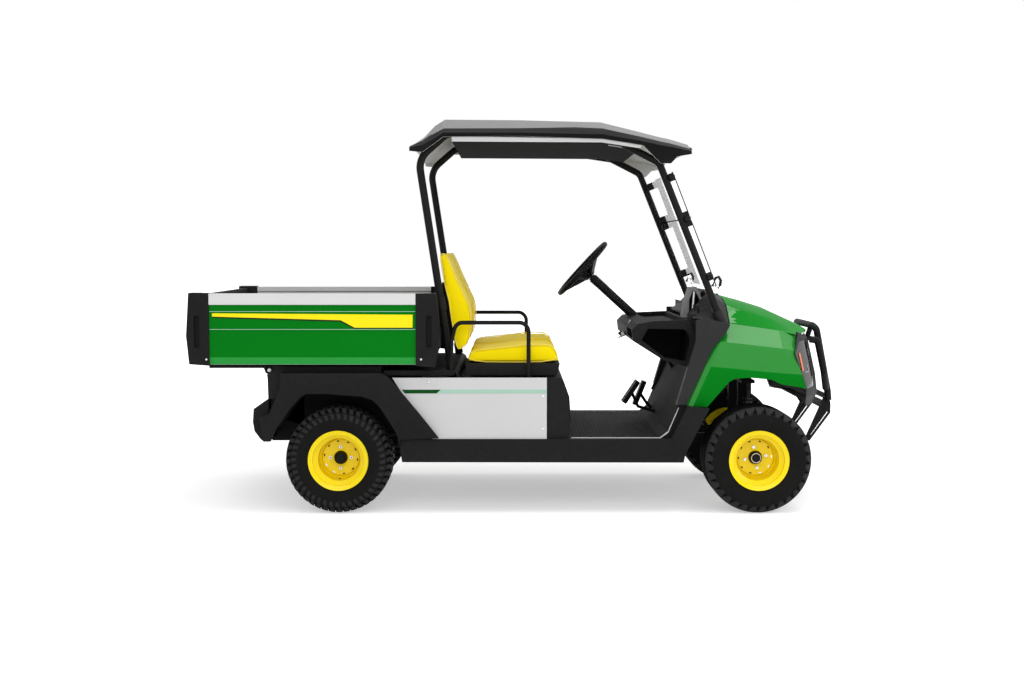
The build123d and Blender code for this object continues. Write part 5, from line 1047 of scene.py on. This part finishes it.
def setScrews():
    for (body, finish, radius), rows in screws.items():
        places = [(x, side * out, z) for out, row in rows for side in (-1, 1) for x, z in row]
        mesh = bpy.data.meshes.new("points")
        mesh.from_pydata(places, [], [])
        facing = mesh.attributes.new("facing", "FLOAT_VECTOR", "POINT")
        for index, place in enumerate(places):
            facing.data[index].vector = (0, math.copysign(1, place[1]), 0)
        heads = grow(mesh, headTree, Radius=radius, Height=radius * 0.28, Sides=12, Material=finishes[finish])
        showMesh("screws_" + body + "_" + finish, heads, body, finish, smooth=25.0)


setScrews()

# Gussets and plates that close the chassis, headlamp markers and bars, and the hooks at the windshield's foot
closings = {"gusset": 0.545, "marker": 0.0018, "hookRadius": 0.0068}


def lensPlace(y, z):
    rise = 0.277 + (0.813 - z) / 0.157 * 0.036
    return 1.140 + rise - 0.044 - (abs(y) - 0.450) * 0.694


def trimChassis():
    dark = trimFor("chassis", "blackMoulding")
    pivotPlate = [(-1.199, 0.664), (-1.190, 0.704), (-1.120, 0.704), (-1.116, 0.668), (-1.158, 0.545),
                  (-1.196, 0.545)]
    addFlank(dark, pivotPlate, closings["gusset"], closings["gusset"] + 0.008)
    addFlank(dark, [(0.738, 0.480), (0.796, 0.480), (0.806, 0.536), (0.762, 0.536)], 0.532, 0.544)
    shade = trimFor("chassis", "chassisPaint", "moulding")
    archPlate = [(-1.216, 0.318), (-1.090, 0.318), (-1.055, 0.400), (-1.055, 0.565), (-1.150, 0.520)]
    addFlank(shade, archPlate, 0.342, 0.350)
    addFlank(dark, [(0.812, 0.845), (0.812, 0.945), (0.868, 0.945), (0.868, 0.845)], 0.452, 0.460)
    bulkhead = [(0.860, y, z) for y, z in ((-0.455, 0.850), (0.455, 0.850), (0.455, 0.985), (-0.455, 0.985))]
    addPrism(shade, bulkhead, (0.004, 0, 0))
    seam = trimFor("chassis", "stripeBlack")
    for x in (0.609, 0.141):
        addFlank(seam, [(x, 0.262), (x + 0.002, 0.262), (x + 0.002, 0.338), (x, 0.338)], 0.5995, 0.6004)
    amber = trimFor("chassis", "amberLens", "lamp")
    bright = trimFor("chassis", "brightSteel")
    for side in (-1, 1):
        out = Vector((0.82, side * 0.57, 0)) * closings["marker"]
        for shape, nearY, farY, low, high in (
            (amber, 0.521, 0.507, 0.676, 0.762),
            (bright, 0.498, 0.462, 0.668, 0.6705),
            (bright, 0.4645, 0.462, 0.668, 0.700),
        ):
            places = ((nearY, low), (farY, low), (farY, high), (nearY, high))
            addPrism(shape, [(lensPlace(y, z), side * y, z) for y, z in places], out)
    hook = trimFor("chassis", "cagePaint")
    points = [(0.925, 1.080), (0.940, 1.120), (0.955, 1.126), (0.965, 1.108), (0.962, 1.085), (0.952, 1.070)]
    for side in (-1, 1):
        addTube(hook, [(x, side * 0.489, z) for x, z in points], closings["hookRadius"], 8)


trimChassis()

for (body, finish, slotName), shape in trims.items():
    mesh = bpy.data.meshes.new("trim")
    storeShape(shape, mesh)
    showMesh("trim_" + body + "_" + finish + "_" + slotName, mesh, body, finish)
print("trim made:", len(trims), "meshes")

studio = {"world": 0.52, "glint": 14.0, "top": 105.0, "front": 88.0, "nose": 44.0, "floorGlow": 0.45}


def makeLamp(name, place, target, size, power):
    data = bpy.data.lights.new(name, "AREA")
    data.shape = "RECTANGLE"
    data.size, data.size_y = size
    data.energy = power
    lamp = addObject(name, data)
    lamp.location = place
    lamp.rotation_euler = (Vector(target) - Vector(place)).to_track_quat("-Z", "Y").to_euler()
    return lamp


makeLamp("topBox", (0.1, -0.4, 4.2), (0, 0, 0.9), (6.0, 4.0), studio["top"])
makeLamp("frontBox", (0.2, -5.2, 2.9), (0, 0, 0.8), (6.0, 2.2), studio["front"])
makeLamp("glintBox", (2.0, -1.2, 3.9), (1.1, -0.5, 0.85), (1.5, 0.5), studio["glint"])
makeLamp("noseBox", (4.6, -1.6, 2.6), (0.8, 0, 0.8), (2.6, 2.6), studio["nose"])


# 1 on the rays that show the room itself: to the camera, in a gloss, or through glass
def looksStraight(tree):
    rays = placeNode(tree, "ShaderNodeLightPath")
    seen = rays.outputs["Is Camera Ray"]
    for kind in ("Is Glossy Ray", "Is Transmission Ray"):
        seen = mathNode(tree, "MAXIMUM", seen, rays.outputs[kind])
    return seen


floorMesh = bpy.data.meshes.new("studioFloor")
floorMesh.from_pydata([(-30, -12, 0), (30, -12, 0), (30, 40, 0), (-30, 40, 0)], [], [(0, 1, 2, 3)])
floor = addObject("studioFloor", floorMesh)
floorMaterial, tree, surface = openMaterial("paleFloor")
# Away from the vehicle the floor runs out into the white of the room
where = placeNode(tree, "ShaderNodeTexCoord").outputs["Object"]
away = placeNode(tree, "ShaderNodeVectorMath", {0: where}, operation="LENGTH").outputs["Value"]
fade = placeNode(tree, "ShaderNodeMapRange", {
    "Value": away, "From Min": 1.6, "From Max": 4.2, "To Min": studio["floorGlow"], "To Max": 1.1,
}, interpolation_type="SMOOTHSTEP")
glow = mathNode(tree, "MULTIPLY", looksStraight(tree), fade.outputs["Result"])
for label, value in (
    ("Base Color", (0.86, 0.86, 0.86)), ("Roughness", 0.9), ("Specular IOR Level", 0.1),
    ("Emission Color", (1.0, 1.0, 1.0)), ("Emission Strength", glow),
):
    fillSocket(tree, surface[label], value)
floorMesh.materials.append(floorMaterial)

world = bpy.data.worlds.new("paleRoom")
bpy.context.scene.world = world
world.use_nodes = True
tree = world.node_tree
tree.nodes.clear()
white = (1.0, 1.0, 1.0)
roomLight = placeNode(tree, "ShaderNodeBackground", {"Color": white, "Strength": studio["world"]})
whiteWall = placeNode(tree, "ShaderNodeBackground", {"Color": white, "Strength": 1.0})
choose = placeNode(tree, "ShaderNodeMixShader", {
    0: looksStraight(tree), 1: roomLight.outputs[0], 2: whiteWall.outputs[0],
})
placeNode(tree, "ShaderNodeOutputWorld", {"Surface": choose.outputs[0]})

bpy.context.scene.view_settings.view_transform = "Standard"

lens = {"place": (-0.034, -7.05, 1.257), "downDeg": 3.85, "focal": 48.16}
cameraData = bpy.data.cameras.new("sideCamera")
cameraData.lens = lens["focal"]
cameraData.sensor_width = 36.0
cameraData.clip_end = 200.0
camera = addObject("sideCamera", cameraData)
camera.location = lens["place"]
camera.rotation_euler = (math.radians(90 - lens["downDeg"]), 0, 0)
bpy.context.scene.camera = camera
print("studio set")
